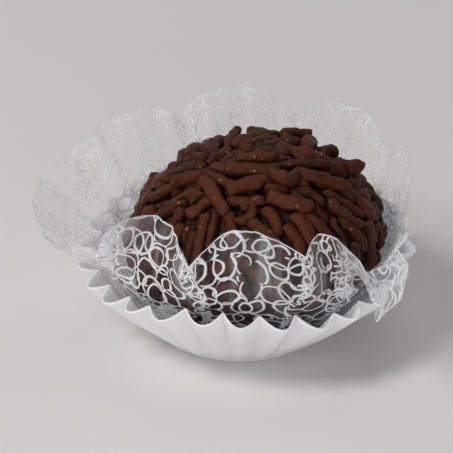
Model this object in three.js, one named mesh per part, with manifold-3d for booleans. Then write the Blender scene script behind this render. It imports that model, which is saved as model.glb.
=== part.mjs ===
// Brigadeiro: a soft chocolate sweet covered in chocolate sprinkles. It sits in a clear film liner with a
// scalloped edge, and the liner sits in a fluted white paper case.
//
// Millimetres, +Z up. The origin is the centre of the case's flat base, on the surface that it stands on.
// The front is -Y and the right is +X. An azimuth is an angle round Z, 0 at the front and positive to the right.

import * as THREE from "three";
import { mergeVertices } from "three/addons/utils/BufferGeometryUtils.js";
import Module from "manifold-3d";

// Paper case
const CASE = {
  baseRadius: 11.2, // where the wall leaves the flat base
  rimRadius: 21.3, // mean of the rim's ridges and creases
  height: 12.3,
  bulge: 0.3, // how far the wall bows outwards from a straight cone
  rimShift: 1, // of the rim's centre to the right
  sags: [
    { at: -78, halfWidth: 78, drop: 2.7 }, // the left side is pressed down
    { at: 42, halfWidth: 48, drop: 1.9 }, // under the petal that hangs outside
  ],
  flutes: 26,
  samplesPerFlute: 4,
  fluteAtBase: 0.08, // half the depth of a flute, at the base and at the rim
  fluteAtRim: 1.15,
  flutePower: 1.5, // 1 would deepen the flutes evenly on their way up: more leaves them shallow near the base
  creaseRise: 0.4, // how much higher the rim is in a crease than half-way out to a ridge
  thickness: 0.35,
  wallSteps: 3,
};

// Film liner
const FILM = {
  thickness: 0.3,
  gap: 0.3, // between the film and the paper under it
  wallInset: 0.95, // from the flutes' inner creases to the middle of the film
  clear: 0.68, // from the outermost sprinkles under the film to its middle
  rimRise: 0.35, // of the film's middle over the mean rim, where it leaves the case
  freeLength: 9.6, // from the case's rim to a petal's tip, along the film
  scallopPower: 2.4, // 2 would be a round lobe: more makes its top flatter
  bendLength: 3, // the stretch over which the film turns from the case's slope to a petal's own
  ripple: 0.2, // half the depth of the small gathers, at the edge
  ripples: 24,
  foldDepth: 0.9, // of the pleat between two petals, at the edge
  foldWidth: 7, // degrees
  foldsFrom: 0.8, // beyond the case's rim
  foldsGrowOver: 4.6,
  petalBlend: 9, // degrees on each side of a pleat in which one petal's shape turns into the next
  samplesPerPetal: 11,
  wallSteps: 3,
  freeSteps: 5,
  slopeParts: 16, // straight parts that a petal's curve is added up from
};

// Petals of the film, round from the front left. from is the azimuth of the pleat where a petal starts, and
// valley how much shorter the film is there. peak is how far across the petal its tip lies. lean is its slope at
// the tip in degrees: under 90 it leans outwards, over 90 in over the sweet. longer is added to the film's free
// length, and swing turns the tip sideways, in degrees.
const PETALS = [
  { from: -61, valley: 5.5, peak: 0.22, lean: 124, longer: 2, swing: 0 },
  { from: -22, valley: 5.2, peak: 0.5, lean: 124, longer: 1.6, swing: 0 },
  { from: 28, valley: 2.4, peak: 0.5, lean: 116, longer: 1.3, swing: 0 },
  { from: 46, valley: 2.4, peak: 0.3, lean: -72, longer: 3.1, swing: -11, hangsOutside: true },
  { from: 66, valley: 5, peak: 0.5, lean: 80, longer: 0.5, swing: 0 },
  { from: 122, valley: 4, peak: 0.45, lean: 71, longer: 0.8, swing: 0 },
  { from: 161, valley: 4, peak: 0.55, lean: 60, longer: 1, swing: 0 },
  { from: 199, valley: 3.6, peak: 0.5, lean: 47, longer: 0.8, swing: 0 },
  { from: 241, valley: 2, peak: 0.4, lean: 37, longer: 2, swing: 0 },
];
const FOLD_OVER = { riseLength: 3.8, riseLean: 86, turnLength: 4.2 }; // how the petal that hangs outside gets there

// Sweet
const SWEET = {
  centre: new THREE.Vector3(2.2, 0, 13),
  radius: 16.1, // of the bare fudge, across
  halfHeight: 10.7,
  underside: 1.65, // 2 would be an ellipsoid: less makes the hidden underside more of a cone
  lean: new THREE.Vector2(-0.4, -0.1), // how far the underside's middle moves for each millimetre down
  envelope: 1.4, // how far sprinkles under the film may stand out of the fudge
  shoulder: new THREE.Vector3(-0.66, 0.26, 0.7), // direction of a flatter part
  shoulderDent: 1.7,
  lumps: [
    { height: 0.15, wave: new THREE.Vector3(3.1, 2.7, 0), phase: 1.3 },
    { height: 0.15, wave: new THREE.Vector3(-1.4, 4.3, 2.2), phase: 0 },
  ],
  segmentsRound: 20,
  segmentsHigh: 11,
};

// Sprinkles, as rounded rods
const SPRINKLE = {
  count: 128,
  radius: 0.92,
  longest: 8.8,
  shortest: 5,
  tip: 0.6, // length of a rounded end, in radii
  crown: 32, // degrees from the top within which the sprinkles run from side to side
  crownBlend: 20, // degrees over which they turn to run down the sides
  spread: 58, // degrees that a sprinkle may lie off that direction
  nudge: 0.1, // of SKEW in that direction, so that it never lies straight along a normal
  tilt: 5, // degrees that a sprinkle may stand off the fudge's surface
  bend: [0.4, 1.3], // least and most curve, as shares of the fudge's own
  sunk: 0.3, // how far the axis lies above the fudge
  maxLift: 1.1, // how much higher a sprinkle may lie on its neighbours
  liftStep: 0.1,
  touching: 0.68, // share of two radii that crossing sprinkles keep between their axes
  sides: 5,
  lowest: 7, // none lie lower than this, where the sweet rests in the film
  filmTop: 22, // sprinkles above this height are clear of the film
  places: 620, // candidates, of which the crowded ones stay empty
  placeStep: 229, // has no factor in common with places, so that each place is visited once
  reachDown: 1.66, // places lie from the top, at 0, to this share of the way down to the underside, at 2
  attempts: 24,
  seed: 5,
};

const DEGREE = Math.PI / 180;
const GOLDEN_RATIO = (1 + Math.sqrt(5)) / 2;
const WALL_SLOPE = Math.atan2(CASE.height, CASE.rimRadius - CASE.baseRadius);
const SMALL_STEP = 0.02; // for slopes that are taken from two near points
const SKEW = new THREE.Vector3(0.31, 0.95, 0.07); // only gives cross products a start, so any odd direction does
const clamp01 = (x) => Math.min(1, Math.max(0, x));
const smooth = (x) => clamp01(x) ** 2 * (3 - 2 * clamp01(x));
const mix = (a, b, t) => a + (b - a) * t;

/** A point from its azimuth in degrees, its distance from the axis and its height. */
function around(azimuth, radius, z) {
  return new THREE.Vector3(radius * Math.sin(azimuth * DEGREE), -radius * Math.cos(azimuth * DEGREE), z);
}

/** An angle in degrees brought into the range from 0 to 360. */
const wrap = (angle) => ((angle % 360) + 360) % 360;

/** Degrees from one azimuth to another the short way round, from -180 to 180. */
const turnTo = (from, to) => wrap(to - from + 180) - 180;

/** A repeatable stream of numbers from 0 to 1. */
function numberStream(seed) {
  let state = seed;
  return () => {
    state = (state + 0x6d2b79f5) | 0;
    let mixed = Math.imul(state ^ (state >>> 15), state | 1);
    mixed ^= mixed + Math.imul(mixed ^ (mixed >>> 7), mixed | 61);
    return ((mixed ^ (mixed >>> 14)) >>> 0) / 2 ** 32;
  };
}

// ---------------------------------------------------------------- shells

/**
 * A closed thin shell from two matching stacks of rings, one for each face. Each stack starts at the centre of a
 * flat base and ends at the open edge, where a strip joins the two. Both faces are split into triangles alike.
 */
function shellGeometry(outerCentre, outerRings, innerCentre, innerRings) {
  const count = outerRings[0].length;
  const points = [];
  const add = (p) => points.push(p) - 1;
  const outer = { centre: add(outerCentre), rings: outerRings.map((ring) => ring.map(add)) };
  const inner = { centre: add(innerCentre), rings: innerRings.map((ring) => ring.map(add)) };
  const index = [];
  const face = (a, b, c, flip) => (flip ? index.push(a, c, b) : index.push(a, b, c));
  for (const [side, flip] of [
    [outer, false],
    [inner, true],
  ]) {
    for (let i = 0; i < count; i++) {
      const j = (i + 1) % count;
      face(side.centre, side.rings[0][j], side.rings[0][i], flip);
      for (let k = 0; k + 1 < side.rings.length; k++) {
        const [low, high] = [side.rings[k], side.rings[k + 1]];
        face(low[i], low[j], high[j], flip);
        face(low[i], high[j], high[i], flip);
      }
    }
  }
  const [outerEdge, innerEdge] = [outer.rings.at(-1), inner.rings.at(-1)];
  for (let i = 0; i < count; i++) {
    const j = (i + 1) % count;
    face(outerEdge[i], outerEdge[j], innerEdge[j], false);
    face(outerEdge[i], innerEdge[j], innerEdge[i], false);
  }
  return geometryFrom(points, index);
}

/** A geometry from points and the triangles' corners. */
function geometryFrom(points, index) {
  const geometry = new THREE.BufferGeometry();
  geometry.setAttribute("position", new THREE.Float32BufferAttribute(points.flatMap((p) => p.toArray()), 3));
  geometry.setIndex(index);
  geometry.computeVertexNormals();
  return geometry;
}

/** The two faces of a thin wall, each half a thickness from a middle surface given by place(azimuth, step). */
function wallFaces(place, azimuths, steps, thickness) {
  const faces = { outer: [], inner: [] };
  for (const step of steps) {
    const [outerRing, innerRing] = [[], []];
    for (const azimuth of azimuths) {
      const middle = place(azimuth, step);
      const alongRing = place(azimuth + SMALL_STEP, step).sub(place(azimuth - SMALL_STEP, step));
      const alongWall = place(azimuth, step + SMALL_STEP).sub(place(azimuth, step - SMALL_STEP));
      const outwards = alongRing.cross(alongWall).normalize().multiplyScalar(thickness / 2);
      outerRing.push(middle.clone().add(outwards));
      innerRing.push(middle.clone().sub(outwards));
    }
    faces.outer.push(outerRing);
    faces.inner.push(innerRing);
  }
  return faces;
}

/** How far the faces of a thin wall lie from its middle, at the corner where it rises from the flat base. */
const cornerOffset = (thickness) => (thickness / 2) * Math.tan(WALL_SLOPE / 2);

/** A ring at one height, for the flat base. */
function flatRing(azimuths, radius, z) {
  return azimuths.map((azimuth) => around(azimuth, radius(azimuth), z));
}

// ---------------------------------------------------------------- paper case

/** The case's wall as a smooth bowl without flutes: t is 0 at the base and 1 at the rim. */
function caseProfile(azimuth, t) {
  const across = CASE.rimRadius - CASE.baseRadius;
  const length = Math.hypot(across, CASE.height);
  const bow = CASE.bulge * 4 * t * (1 - t);
  const shift = CASE.rimShift * Math.sin(azimuth * DEGREE);
  const profile = {
    radius: CASE.baseRadius + (across + shift) * t + (bow * CASE.height) / length,
    z: CASE.height * t - (bow * across) / length,
  };
  for (const { at, halfWidth, drop } of CASE.sags) {
    profile.z -= drop * t * smooth(1 - Math.abs(turnTo(at, azimuth)) / halfWidth);
  }
  return profile;
}

/** Half the depth of a flute at t. */
const fluteDepth = (t) => mix(CASE.fluteAtBase, CASE.fluteAtRim, clamp01(t) ** CASE.flutePower);

/** The wave of the flutes, from -1 in the sharp inner creases to 1 on the rounded ridges. */
const fluteWave = (azimuth) => 2 * Math.abs(Math.cos((CASE.flutes * azimuth * DEGREE) / 2)) - 1;

/** A point of the middle of the case's paper. */
function caseWall(azimuth, t) {
  const profile = caseProfile(azimuth, t);
  const wave = fluteWave(azimuth);
  const z = profile.z - CASE.creaseRise * wave * t + CASE.thickness / 2;
  return around(azimuth, profile.radius + fluteDepth(t) * wave, z);
}

function makeCase() {
  const count = CASE.flutes * CASE.samplesPerFlute;
  const azimuths = Array.from({ length: count }, (_, i) => (i * 360) / count);
  const steps = Array.from({ length: CASE.wallSteps }, (_, i) => (i + 1) / CASE.wallSteps);
  const { outer, inner } = wallFaces(caseWall, azimuths, steps, CASE.thickness);
  const corner = (offset) => (azimuth) => CASE.baseRadius + fluteDepth(0) * fluteWave(azimuth) + offset;
  const miter = cornerOffset(CASE.thickness);
  return shellGeometry(
    new THREE.Vector3(0, 0, 0),
    [flatRing(azimuths, corner(miter), 0), ...outer],
    new THREE.Vector3(0, 0, CASE.thickness),
    [flatRing(azimuths, corner(-miter), CASE.thickness), ...inner],
  );
}

// ---------------------------------------------------------------- film liner

const FILM_FLOOR = CASE.thickness + FILM.gap + FILM.thickness / 2; // height of the film's middle under the sweet
const FILM_CORNER = CASE.baseRadius - FILM.wallInset;

/**
 * The petals that shape the film at an azimuth: its own and the nearer neighbour, the neighbour's share, the
 * degrees to their pleat, and how much shorter the film is than at the petal's tip.
 */
function petalsAt(azimuth) {
  const count = PETALS.length;
  const index = PETALS.findLastIndex(({ from }) => wrap(azimuth - PETALS[0].from) >= wrap(from - PETALS[0].from));
  const own = PETALS[index];
  const next = PETALS[(index + 1) % count];
  const width = wrap(next.from - own.from);
  const into = wrap(azimuth - own.from);
  const rising = into < own.peak * width;
  const toTip = rising ? 1 - into / (own.peak * width) : (into / width - own.peak) / (1 - own.peak);
  const toPleat = Math.min(into, width - into);
  return {
    own,
    other: into < width / 2 ? PETALS[(index + count - 1) % count] : next,
    share: 0.5 * smooth(1 - toPleat / Math.min(FILM.petalBlend, width / 2)),
    toPleat,
    shorter: (rising ? own : next).valley * toTip ** FILM.scallopPower,
  };
}

/** A petal's slope in degrees at a distance beyond the case's rim, where the film has the rim's slope. */
function petalSlope(petal, beyond, rimSlope) {
  if (!petal.hangsOutside) return mix(rimSlope, petal.lean, smooth(beyond / FILM.bendLength));
  const { riseLength, riseLean, turnLength } = FOLD_OVER;
  const rising = mix(rimSlope, riseLean, smooth(beyond / riseLength));
  return mix(rising, petal.lean, smooth((beyond - riseLength) / turnLength));
}

/** The film's radius and height inside the case: t is 0 at the base and 1 at the rim. */
function filmInCase(azimuth, t) {
  const profile = caseProfile(azimuth, t);
  return {
    radius: profile.radius - fluteDepth(t) - FILM.wallInset,
    z: profile.z + mix(FILM_FLOOR, FILM.rimRise, t),
  };
}

/** A point of the film's middle surface: step is from 0 to 1 in the case and from 1 to 2 beyond its rim. */
function filmPoint(azimuth, step) {
  if (step <= 1) {
    const inCase = filmInCase(azimuth, step);
    return clearOfSweet(around(azimuth, inCase.radius, inCase.z));
  }
  const { own, other, share, toPleat, shorter } = petalsAt(azimuth);
  const beyond = (step - 1) * (FILM.freeLength + mix(own.longer, other.longer, share) - shorter);
  const rim = filmInCase(azimuth, 1);
  const below = filmInCase(azimuth, 1 - SMALL_STEP);
  const rimSlope = Math.atan2(rim.z - below.z, rim.radius - below.radius) / DEGREE;
  let [radius, z] = [rim.radius, rim.z];
  for (let k = 0; k < FILM.slopeParts; k++) {
    const reached = ((k + 0.5) / FILM.slopeParts) * beyond;
    const slope = mix(petalSlope(own, reached, rimSlope), petalSlope(other, reached, rimSlope), share) * DEGREE;
    radius += (Math.cos(slope) * beyond) / FILM.slopeParts;
    z += (Math.sin(slope) * beyond) / FILM.slopeParts;
  }
  const grown = smooth((beyond - FILM.foldsFrom) / FILM.foldsGrowOver);
  const pleat = FILM.foldDepth * Math.exp(-((toPleat / FILM.foldWidth) ** 2));
  const gathers = FILM.ripple * (1 + Math.cos(FILM.ripples * azimuth * DEGREE));
  const turned = azimuth + grown * mix(own.swing, other.swing, share);
  return clearOfSweet(around(turned, radius, z)).add(around(turned, (pleat + gathers) * grown, 0));
}

/** A point of the film, moved straight out from the sweet's centre where it would lie in the sweet. */
function clearOfSweet(point) {
  const offset = point.sub(SWEET.centre);
  const share = sweetShare(offset, SWEET.envelope + FILM.clear);
  return offset.multiplyScalar(Math.max(1, 1 / share)).add(SWEET.centre);
}

/** Azimuths that lie close together in narrow petals, with one on every pleat. */
function filmAzimuths() {
  return PETALS.flatMap(({ from }, i) => {
    const width = wrap(PETALS[(i + 1) % PETALS.length].from - from);
    return Array.from({ length: FILM.samplesPerPetal }, (_, k) => from + (k * width) / FILM.samplesPerPetal);
  });
}

function makeFilm() {
  const azimuths = filmAzimuths();
  const inCase = Array.from({ length: FILM.wallSteps }, (_, i) => (i + 1) / FILM.wallSteps);
  const free = Array.from({ length: FILM.freeSteps }, (_, i) => 1 + (i + 1) / FILM.freeSteps);
  const { outer, inner } = wallFaces(filmPoint, azimuths, [...inCase, ...free], FILM.thickness);
  const miter = cornerOffset(FILM.thickness);
  const [under, over] = [FILM_FLOOR - FILM.thickness / 2, FILM_FLOOR + FILM.thickness / 2];
  return shellGeometry(
    new THREE.Vector3(0, 0, under),
    [flatRing(azimuths, () => FILM_CORNER + miter, under), ...outer],
    new THREE.Vector3(0, 0, over),
    [flatRing(azimuths, () => FILM_CORNER - miter, over), ...inner],
  );
}

// ---------------------------------------------------------------- sweet

/** How far out an offset from the sweet's centre lies: 1 on the plain fudge with a layer of this thickness. */
function sweetShare(offset, layer) {
  const power = offset.z < 0 ? SWEET.underside : 2;
  const down = Math.max(0, -offset.z);
  const off = Math.hypot(offset.x - SWEET.lean.x * down, offset.y - SWEET.lean.y * down);
  const across = off / (SWEET.radius + layer);
  const high = Math.abs(offset.z) / (SWEET.halfHeight + layer);
  return (across ** power + high ** power) ** (1 / power);
}

/** A point of the fudge's surface in a direction from its centre. */
function fudgeSurface(direction) {
  let reach = 1 / sweetShare(direction, 0);
  reach -= SWEET.shoulderDent * smooth(1 - direction.angleTo(SWEET.shoulder));
  for (const { height, wave, phase } of SWEET.lumps) reach += height * Math.sin(wave.dot(direction) + phase);
  return direction.clone().multiplyScalar(reach).add(SWEET.centre);
}

/** The outward normal of the plain fudge in a direction from its centre that isn't straight up or down. */
function fudgeNormal(direction) {
  const { radius, halfHeight, lean } = SWEET;
  const z = direction.z;
  const power = (z < 0 ? SWEET.underside : 2) - 1;
  const off = new THREE.Vector2(direction.x, direction.y).addScaledVector(lean, Math.min(0, z));
  const across = off.length();
  const level = off.clone().multiplyScalar((across / radius) ** power / radius / across);
  const upright = (Math.sign(z) * (Math.abs(z) / halfHeight) ** power) / halfHeight;
  return new THREE.Vector3(level.x, level.y, upright + (z < 0 ? lean.dot(level) : 0)).normalize();
}

/** The direction that most sprinkles run in: from side to side over the crown and down the sides. */
function sprinkleFlow(direction, normal) {
  const polar = Math.acos(direction.z) / DEGREE;
  const down = smooth((polar - SPRINKLE.crown) / SPRINKLE.crownBlend);
  const wanted = new THREE.Vector3(1 - down, 0, -down).addScaledVector(SKEW, SPRINKLE.nudge);
  return wanted.addScaledVector(normal, -wanted.dot(normal)).normalize();
}

/** The axis of a sprinkle that lies at an angle to the others on the fudge, as points along a gentle curve. */
function sprinkleAxis(direction, angle, rise, halfLength, lift, bend) {
  const normal = fudgeNormal(direction);
  const flat = sprinkleFlow(direction, normal).applyAxisAngle(normal, angle);
  const along = flat.multiplyScalar(Math.cos(rise)).addScaledVector(normal, Math.sin(rise));
  const middle = fudgeSurface(direction).addScaledVector(normal, SPRINKLE.sunk + lift);
  return [-1, -0.5, 0, 0.5, 1].map((share) => {
    const reach = share * halfLength;
    return middle.clone().addScaledVector(along, reach).addScaledVector(normal, -bend * reach * reach);
  });
}

/** The least distance between the points of two axes. */
function nearest(axisA, axisB) {
  let least = Infinity;
  for (const a of axisA) for (const b of axisB) least = Math.min(least, a.distanceTo(b));
  return least;
}

/**
 * Lays the sprinkles one by one, the longest first, spread by the golden angle. Each lies at the angle at which it
 * sinks lowest among those already there, and one that would cut deep into them at every angle is left out.
 */
function laySprinkles() {
  const next = numberStream(SPRINKLE.seed);
  const laid = [];
  for (let i = 0; i < SPRINKLE.places && laid.length < SPRINKLE.count; i++) {
    const place = (i * SPRINKLE.placeStep) % SPRINKLE.places;
    const z = 1 - (SPRINKLE.reachDown * (place + 0.5)) / SPRINKLE.places;
    const direction = around((place * 360) / GOLDEN_RATIO, Math.sqrt(1 - z * z), z);
    const halfLength = mix(SPRINKLE.longest, SPRINKLE.shortest, i / SPRINKLE.places) / 2 - SPRINKLE.radius;
    const bend = mix(...SPRINKLE.bend, next()) / (2 * SWEET.radius);
    let [best, lowest] = [null, SPRINKLE.maxLift];
    for (let attempt = 0; attempt < SPRINKLE.attempts; attempt++) {
      const angle = SPRINKLE.spread * DEGREE * (next() + next() - 1);
      const rise = SPRINKLE.tilt * DEGREE * (2 * next() - 1);
      for (let lift = 0; lift < lowest; lift += SPRINKLE.liftStep) {
        const axis = sprinkleAxis(direction, angle, rise, halfLength, lift, bend);
        if (!liesWell(axis, laid)) continue;
        [best, lowest] = [axis, lift];
      }
    }
    if (best) laid.push(best);
  }
  return laid;
}

/** Whether a sprinkle keeps clear of the film, of the hidden underside and of the sprinkles already laid. */
function liesWell(axis, laid) {
  if (axis.some((p) => p.z < SPRINKLE.lowest)) return false;
  if (axis.some((p) => p.z < SPRINKLE.filmTop && outermost(p) > 1)) return false;
  return laid.every((other) => nearest(axis, other) > SPRINKLE.touching * 2 * SPRINKLE.radius);
}

/** Above 1 where a sprinkle's outer side stands further out than sprinkles under the film may. */
function outermost(point) {
  const offset = point.clone().sub(SWEET.centre);
  return sweetShare(offset.setLength(offset.length() + SPRINKLE.radius), SWEET.envelope);
}

/** A rounded rod along an axis, with a short cone at each end. */
function sprinkleGeometry(axis) {
  const { radius, sides } = SPRINKLE;
  const ends = [axis.at(0), axis.at(-1)];
  const along = ends[1].clone().sub(ends[0]).normalize();
  const across = SKEW.clone().cross(along).normalize();
  const rings = ends.map((middle) =>
    Array.from({ length: sides }, (_, i) => {
      const spoke = across.clone().applyAxisAngle(along, (i * 2 * Math.PI) / sides);
      return middle.clone().addScaledVector(spoke, radius);
    }),
  );
  const tips = ends.map((end, i) => end.clone().addScaledVector(along, (2 * i - 1) * SPRINKLE.tip * radius));
  const points = [...tips, ...rings.flat()];
  const at = (ring, i) => 2 + ring * sides + (i % sides);
  const index = [];
  for (let i = 0; i < sides; i++) {
    index.push(0, at(0, i + 1), at(0, i), 1, at(1, i), at(1, i + 1));
    index.push(at(0, i), at(0, i + 1), at(1, i + 1), at(0, i), at(1, i + 1), at(1, i));
  }
  return geometryFrom(points, index);
}

/** The bare fudge, from a sphere whose points are moved on to the fudge's surface. */
function fudgeGeometry() {
  const sphere = new THREE.SphereGeometry(1, SWEET.segmentsRound, SWEET.segmentsHigh).rotateX(Math.PI / 2);
  const position = sphere.attributes.position;
  for (let i = 0; i < position.count; i++) {
    const direction = new THREE.Vector3().fromBufferAttribute(position, i).normalize();
    position.setXYZ(i, ...fudgeSurface(direction).toArray());
  }
  return sphere;
}

function toManifold(wasm, geometry) {
  const bare = geometry.clone();
  bare.deleteAttribute("normal");
  bare.deleteAttribute("uv");
  const merged = mergeVertices(bare, 1e-4);
  return new wasm.Manifold(
    new wasm.Mesh({
      numProp: 3,
      vertProperties: new Float32Array(merged.attributes.position.array),
      triVerts: new Uint32Array(merged.index.array),
    }),
  );
}

function fromManifold(solid) {
  const { vertProperties, triVerts } = solid.getMesh();
  const geometry = new THREE.BufferGeometry();
  geometry.setAttribute("position", new THREE.BufferAttribute(vertProperties, 3));
  geometry.setIndex(new THREE.BufferAttribute(triVerts, 1));
  geometry.computeVertexNormals();
  return geometry;
}

function makeSweet(wasm) {
  let joined = toManifold(wasm, fudgeGeometry());
  for (const axis of laySprinkles()) joined = joined.add(toManifold(wasm, sprinkleGeometry(axis)));
  const [whole] = joined.decompose().sort((a, b) => b.volume() - a.volume());
  return fromManifold(whole);
}

// ---------------------------------------------------------------- assembly

function piece(name, geometry, look) {
  const mesh = new THREE.Mesh(geometry, new THREE.MeshStandardMaterial({ metalness: 0, ...look }));
  mesh.name = name;
  return mesh;
}

const wasm = await Module();
wasm.setup();

const brigadeiro = new THREE.Group();
brigadeiro.add(
  piece("paper_case", makeCase(), { color: 0xe6e6ea, roughness: 0.8 }),
  piece("lace_film", makeFilm(), { color: 0xd9dbe0, roughness: 0.25, transparent: true, opacity: 0.5 }),
  piece("sweet", makeSweet(wasm), { color: 0x4a2a1c, roughness: 0.6 }),
);

export default brigadeiro;
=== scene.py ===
"""Looks of a brigadeiro: a sweet in chocolate sprinkles, a lace-printed film liner and a fluted paper case.

Sizes are in millimetres until a mesh is made, and every piece lies where its CAD node lies. An azimuth is an
angle round Z in degrees: 0 is the front, at -Y, and positive angles go to the right, towards +X.
"""

from __future__ import annotations

import sys
import enum
import logging
import math
from collections.abc import Callable, Iterator, Sequence
from dataclasses import dataclass, field
from typing import Any

import bpy
import numpy as np
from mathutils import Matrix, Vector


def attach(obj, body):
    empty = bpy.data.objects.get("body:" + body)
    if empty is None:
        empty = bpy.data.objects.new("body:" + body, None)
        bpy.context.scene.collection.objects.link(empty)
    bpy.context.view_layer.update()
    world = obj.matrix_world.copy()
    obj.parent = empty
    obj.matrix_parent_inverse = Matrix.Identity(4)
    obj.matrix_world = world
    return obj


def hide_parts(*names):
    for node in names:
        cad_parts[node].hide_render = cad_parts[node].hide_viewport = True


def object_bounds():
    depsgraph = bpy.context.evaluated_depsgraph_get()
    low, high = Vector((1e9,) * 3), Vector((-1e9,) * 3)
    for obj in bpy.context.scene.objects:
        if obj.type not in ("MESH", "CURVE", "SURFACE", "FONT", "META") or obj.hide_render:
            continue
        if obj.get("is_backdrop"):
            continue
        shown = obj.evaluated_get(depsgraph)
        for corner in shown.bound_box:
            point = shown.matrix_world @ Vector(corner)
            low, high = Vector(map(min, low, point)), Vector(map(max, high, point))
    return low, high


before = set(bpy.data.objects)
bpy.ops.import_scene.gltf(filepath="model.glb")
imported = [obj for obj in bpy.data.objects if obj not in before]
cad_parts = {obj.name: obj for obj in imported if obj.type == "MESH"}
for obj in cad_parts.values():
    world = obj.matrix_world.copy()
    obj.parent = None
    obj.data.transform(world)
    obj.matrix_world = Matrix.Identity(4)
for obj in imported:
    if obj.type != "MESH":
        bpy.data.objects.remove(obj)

LOG = logging.getLogger("brigadeiro")
MM = 0.001
GOLDEN_RATIO = (1 + math.sqrt(5)) / 2
SKEW = np.array([0.31, 0.95, 0.07])  # only gives cross products a start, so any odd direction does
ROOT = "root"
SHEET_UV = "sheet"  # the film laid flat, in metres
EDGE_DISTANCE = "edge_distance"  # millimetres from the film's free edge
CRUMPLED = "crumpled"  # how crumpled the film is, from 0 to 1
ROD_TONE = "rod_tone"  # a draw from 0 to 1 for each sprinkle
STAND_OUT = "stand_out"  # millimetres that a sprinkle's corner stands out of the fudge
TO_NEXT = "to_next"  # millimetres from a sprinkle's corner to the next sprinkle

Colour = tuple[float, float, float]
Object = bpy.types.Object
Node = bpy.types.Node
Socket = bpy.types.NodeSocket
Outputs = bpy.types.NodeOutputs


class Slot(enum.Enum):
    """The record's material slots."""

    PAPER = "case_paper"
    FILM = "liner_film"
    CHOCOLATE = "chocolate"


# ---------------------------------------------------------------- numbers


def smooth(x: np.ndarray | float) -> np.ndarray:
    """A soft step: 0 up to 0, 1 from 1 on."""
    held = np.clip(x, 0.0, 1.0)
    return held**2 * (3 - 2 * held)


def mix(low: Any, high: Any, share: Any) -> Any:
    """The value a share of the way from low to high."""
    return low + (high - low) * share


def turn_to(start: np.ndarray | float, end: np.ndarray | float) -> np.ndarray:
    """Degrees from one azimuth to another the short way round, from -180 to 180."""
    return (end - start + 180) % 360 - 180


def around(azimuth: Any, radius: Any, height: Any) -> np.ndarray:
    """Points from azimuths, distances from the axis and heights.

    Args:
        azimuth: degrees, a number or an array.
        radius: distance from the axis.
        height: distance over the floor.

    Returns:
        An array with x, y and z along its last axis.
    """
    angle = np.radians(azimuth)
    x, y, z = np.broadcast_arrays(radius * np.sin(angle), -radius * np.cos(angle), height)
    return np.stack([x, y, z], axis=-1)


def unit(vectors: np.ndarray) -> np.ndarray:
    """The vectors along the last axis, each with length 1."""
    return vectors / np.linalg.norm(vectors, axis=-1, keepdims=True)


def number_stream(seed: int) -> Iterator[float]:
    """A repeatable stream of numbers from 0 to 1, the same one as the CAD source draws from.

    Args:
        seed: where the stream starts.

    Yields:
        The next number.
    """
    full = 0xFFFFFFFF
    state = seed
    while True:
        state = (state + 0x6D2B79F5) & full
        mixed = ((state ^ (state >> 15)) * (state | 1)) & full
        mixed ^= (mixed + (((mixed ^ (mixed >> 7)) * (mixed | 61)) & full)) & full
        yield (mixed ^ (mixed >> 14)) / 2**32


@dataclass(frozen=True)
class Wobble:
    """A gentle irregular wave round the azimuths, from about -1 to 1."""

    orders: tuple[int, ...]
    seed: int

    def at(self, azimuth: np.ndarray | float) -> np.ndarray:
        """The wave's value.

        Args:
            azimuth: degrees, a number or an array.

        Returns:
            The value at each azimuth.
        """
        draw = number_stream(self.seed)
        total = np.zeros_like(np.asarray(azimuth, dtype=float))
        for order in self.orders:
            total = total + np.sin(np.radians(azimuth) * order + next(draw) * 2 * math.pi)
        return total / math.sqrt(len(self.orders))


@dataclass(frozen=True)
class LumpField:
    """An irregular smooth field of lumps in space, from about -1 to 1."""

    waves: int
    shortest: float  # millimetres from lump to lump
    longest: float
    seed: int

    def at(self, points: np.ndarray) -> np.ndarray:
        """The field's value.

        Args:
            points: places in millimetres.

        Returns:
            The value at each.
        """
        draw = number_stream(self.seed)
        total = np.zeros(points.shape[:-1])
        for _ in range(self.waves):
            direction = unit(np.array([next(draw), next(draw), next(draw)]) - 0.5)
            length = mix(self.shortest, self.longest, next(draw))
            total += np.sin(points @ direction * 2 * math.pi / length + next(draw) * 2 * math.pi)
        return total / math.sqrt(self.waves / 2)


# ---------------------------------------------------------------- meshes


def mesh_piece(
    name: str,
    points: np.ndarray,
    faces: Sequence[Sequence[int]],
    material: bpy.types.Material,
    crease_angle: float = 60.0,
) -> Object:
    """Makes a smooth-shaded mesh object.

    Args:
        name: the piece's name.
        points: corners in millimetres.
        faces: corner numbers of each face.
        material: the finish.
        crease_angle: edges that bend by more degrees than this stay sharp.

    Returns:
        The new object, linked to the scene.
    """
    mesh = bpy.data.meshes.new(name)
    mesh.from_pydata((np.asarray(points) * MM).tolist(), [], [list(face) for face in faces])
    mesh.materials.append(material)
    mesh.shade_smooth()
    mesh.set_sharp_from_angle(angle=math.radians(crease_angle))
    mesh.validate()
    piece = bpy.data.objects.new(name, mesh)
    bpy.context.scene.collection.objects.link(piece)
    return piece


def point_value(piece: Object, name: str, values: np.ndarray) -> None:
    """Keeps one number for each corner of a piece, for its finish to read."""
    attribute = piece.data.attributes.new(name, "FLOAT", "POINT")
    attribute.data.foreach_set("value", np.asarray(values, dtype=np.float32))


def ring_faces(rows: int, columns: int, flip: bool = False, start: int = 0) -> list[tuple[int, ...]]:
    """Faces of a closed band of rings, row by row.

    Args:
        rows: number of rings.
        columns: corners in each ring.
        flip: whether the faces look the other way.
        start: number of the first corner.

    Returns:
        Quads as corner numbers.
    """
    faces = []
    for row in range(rows - 1):
        for i in range(columns):
            j = (i + 1) % columns
            low, high = start + row * columns, start + (row + 1) * columns
            quad = (low + i, low + j, high + j, high + i)
            faces.append(quad[::-1] if flip else quad)
    return faces


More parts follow.
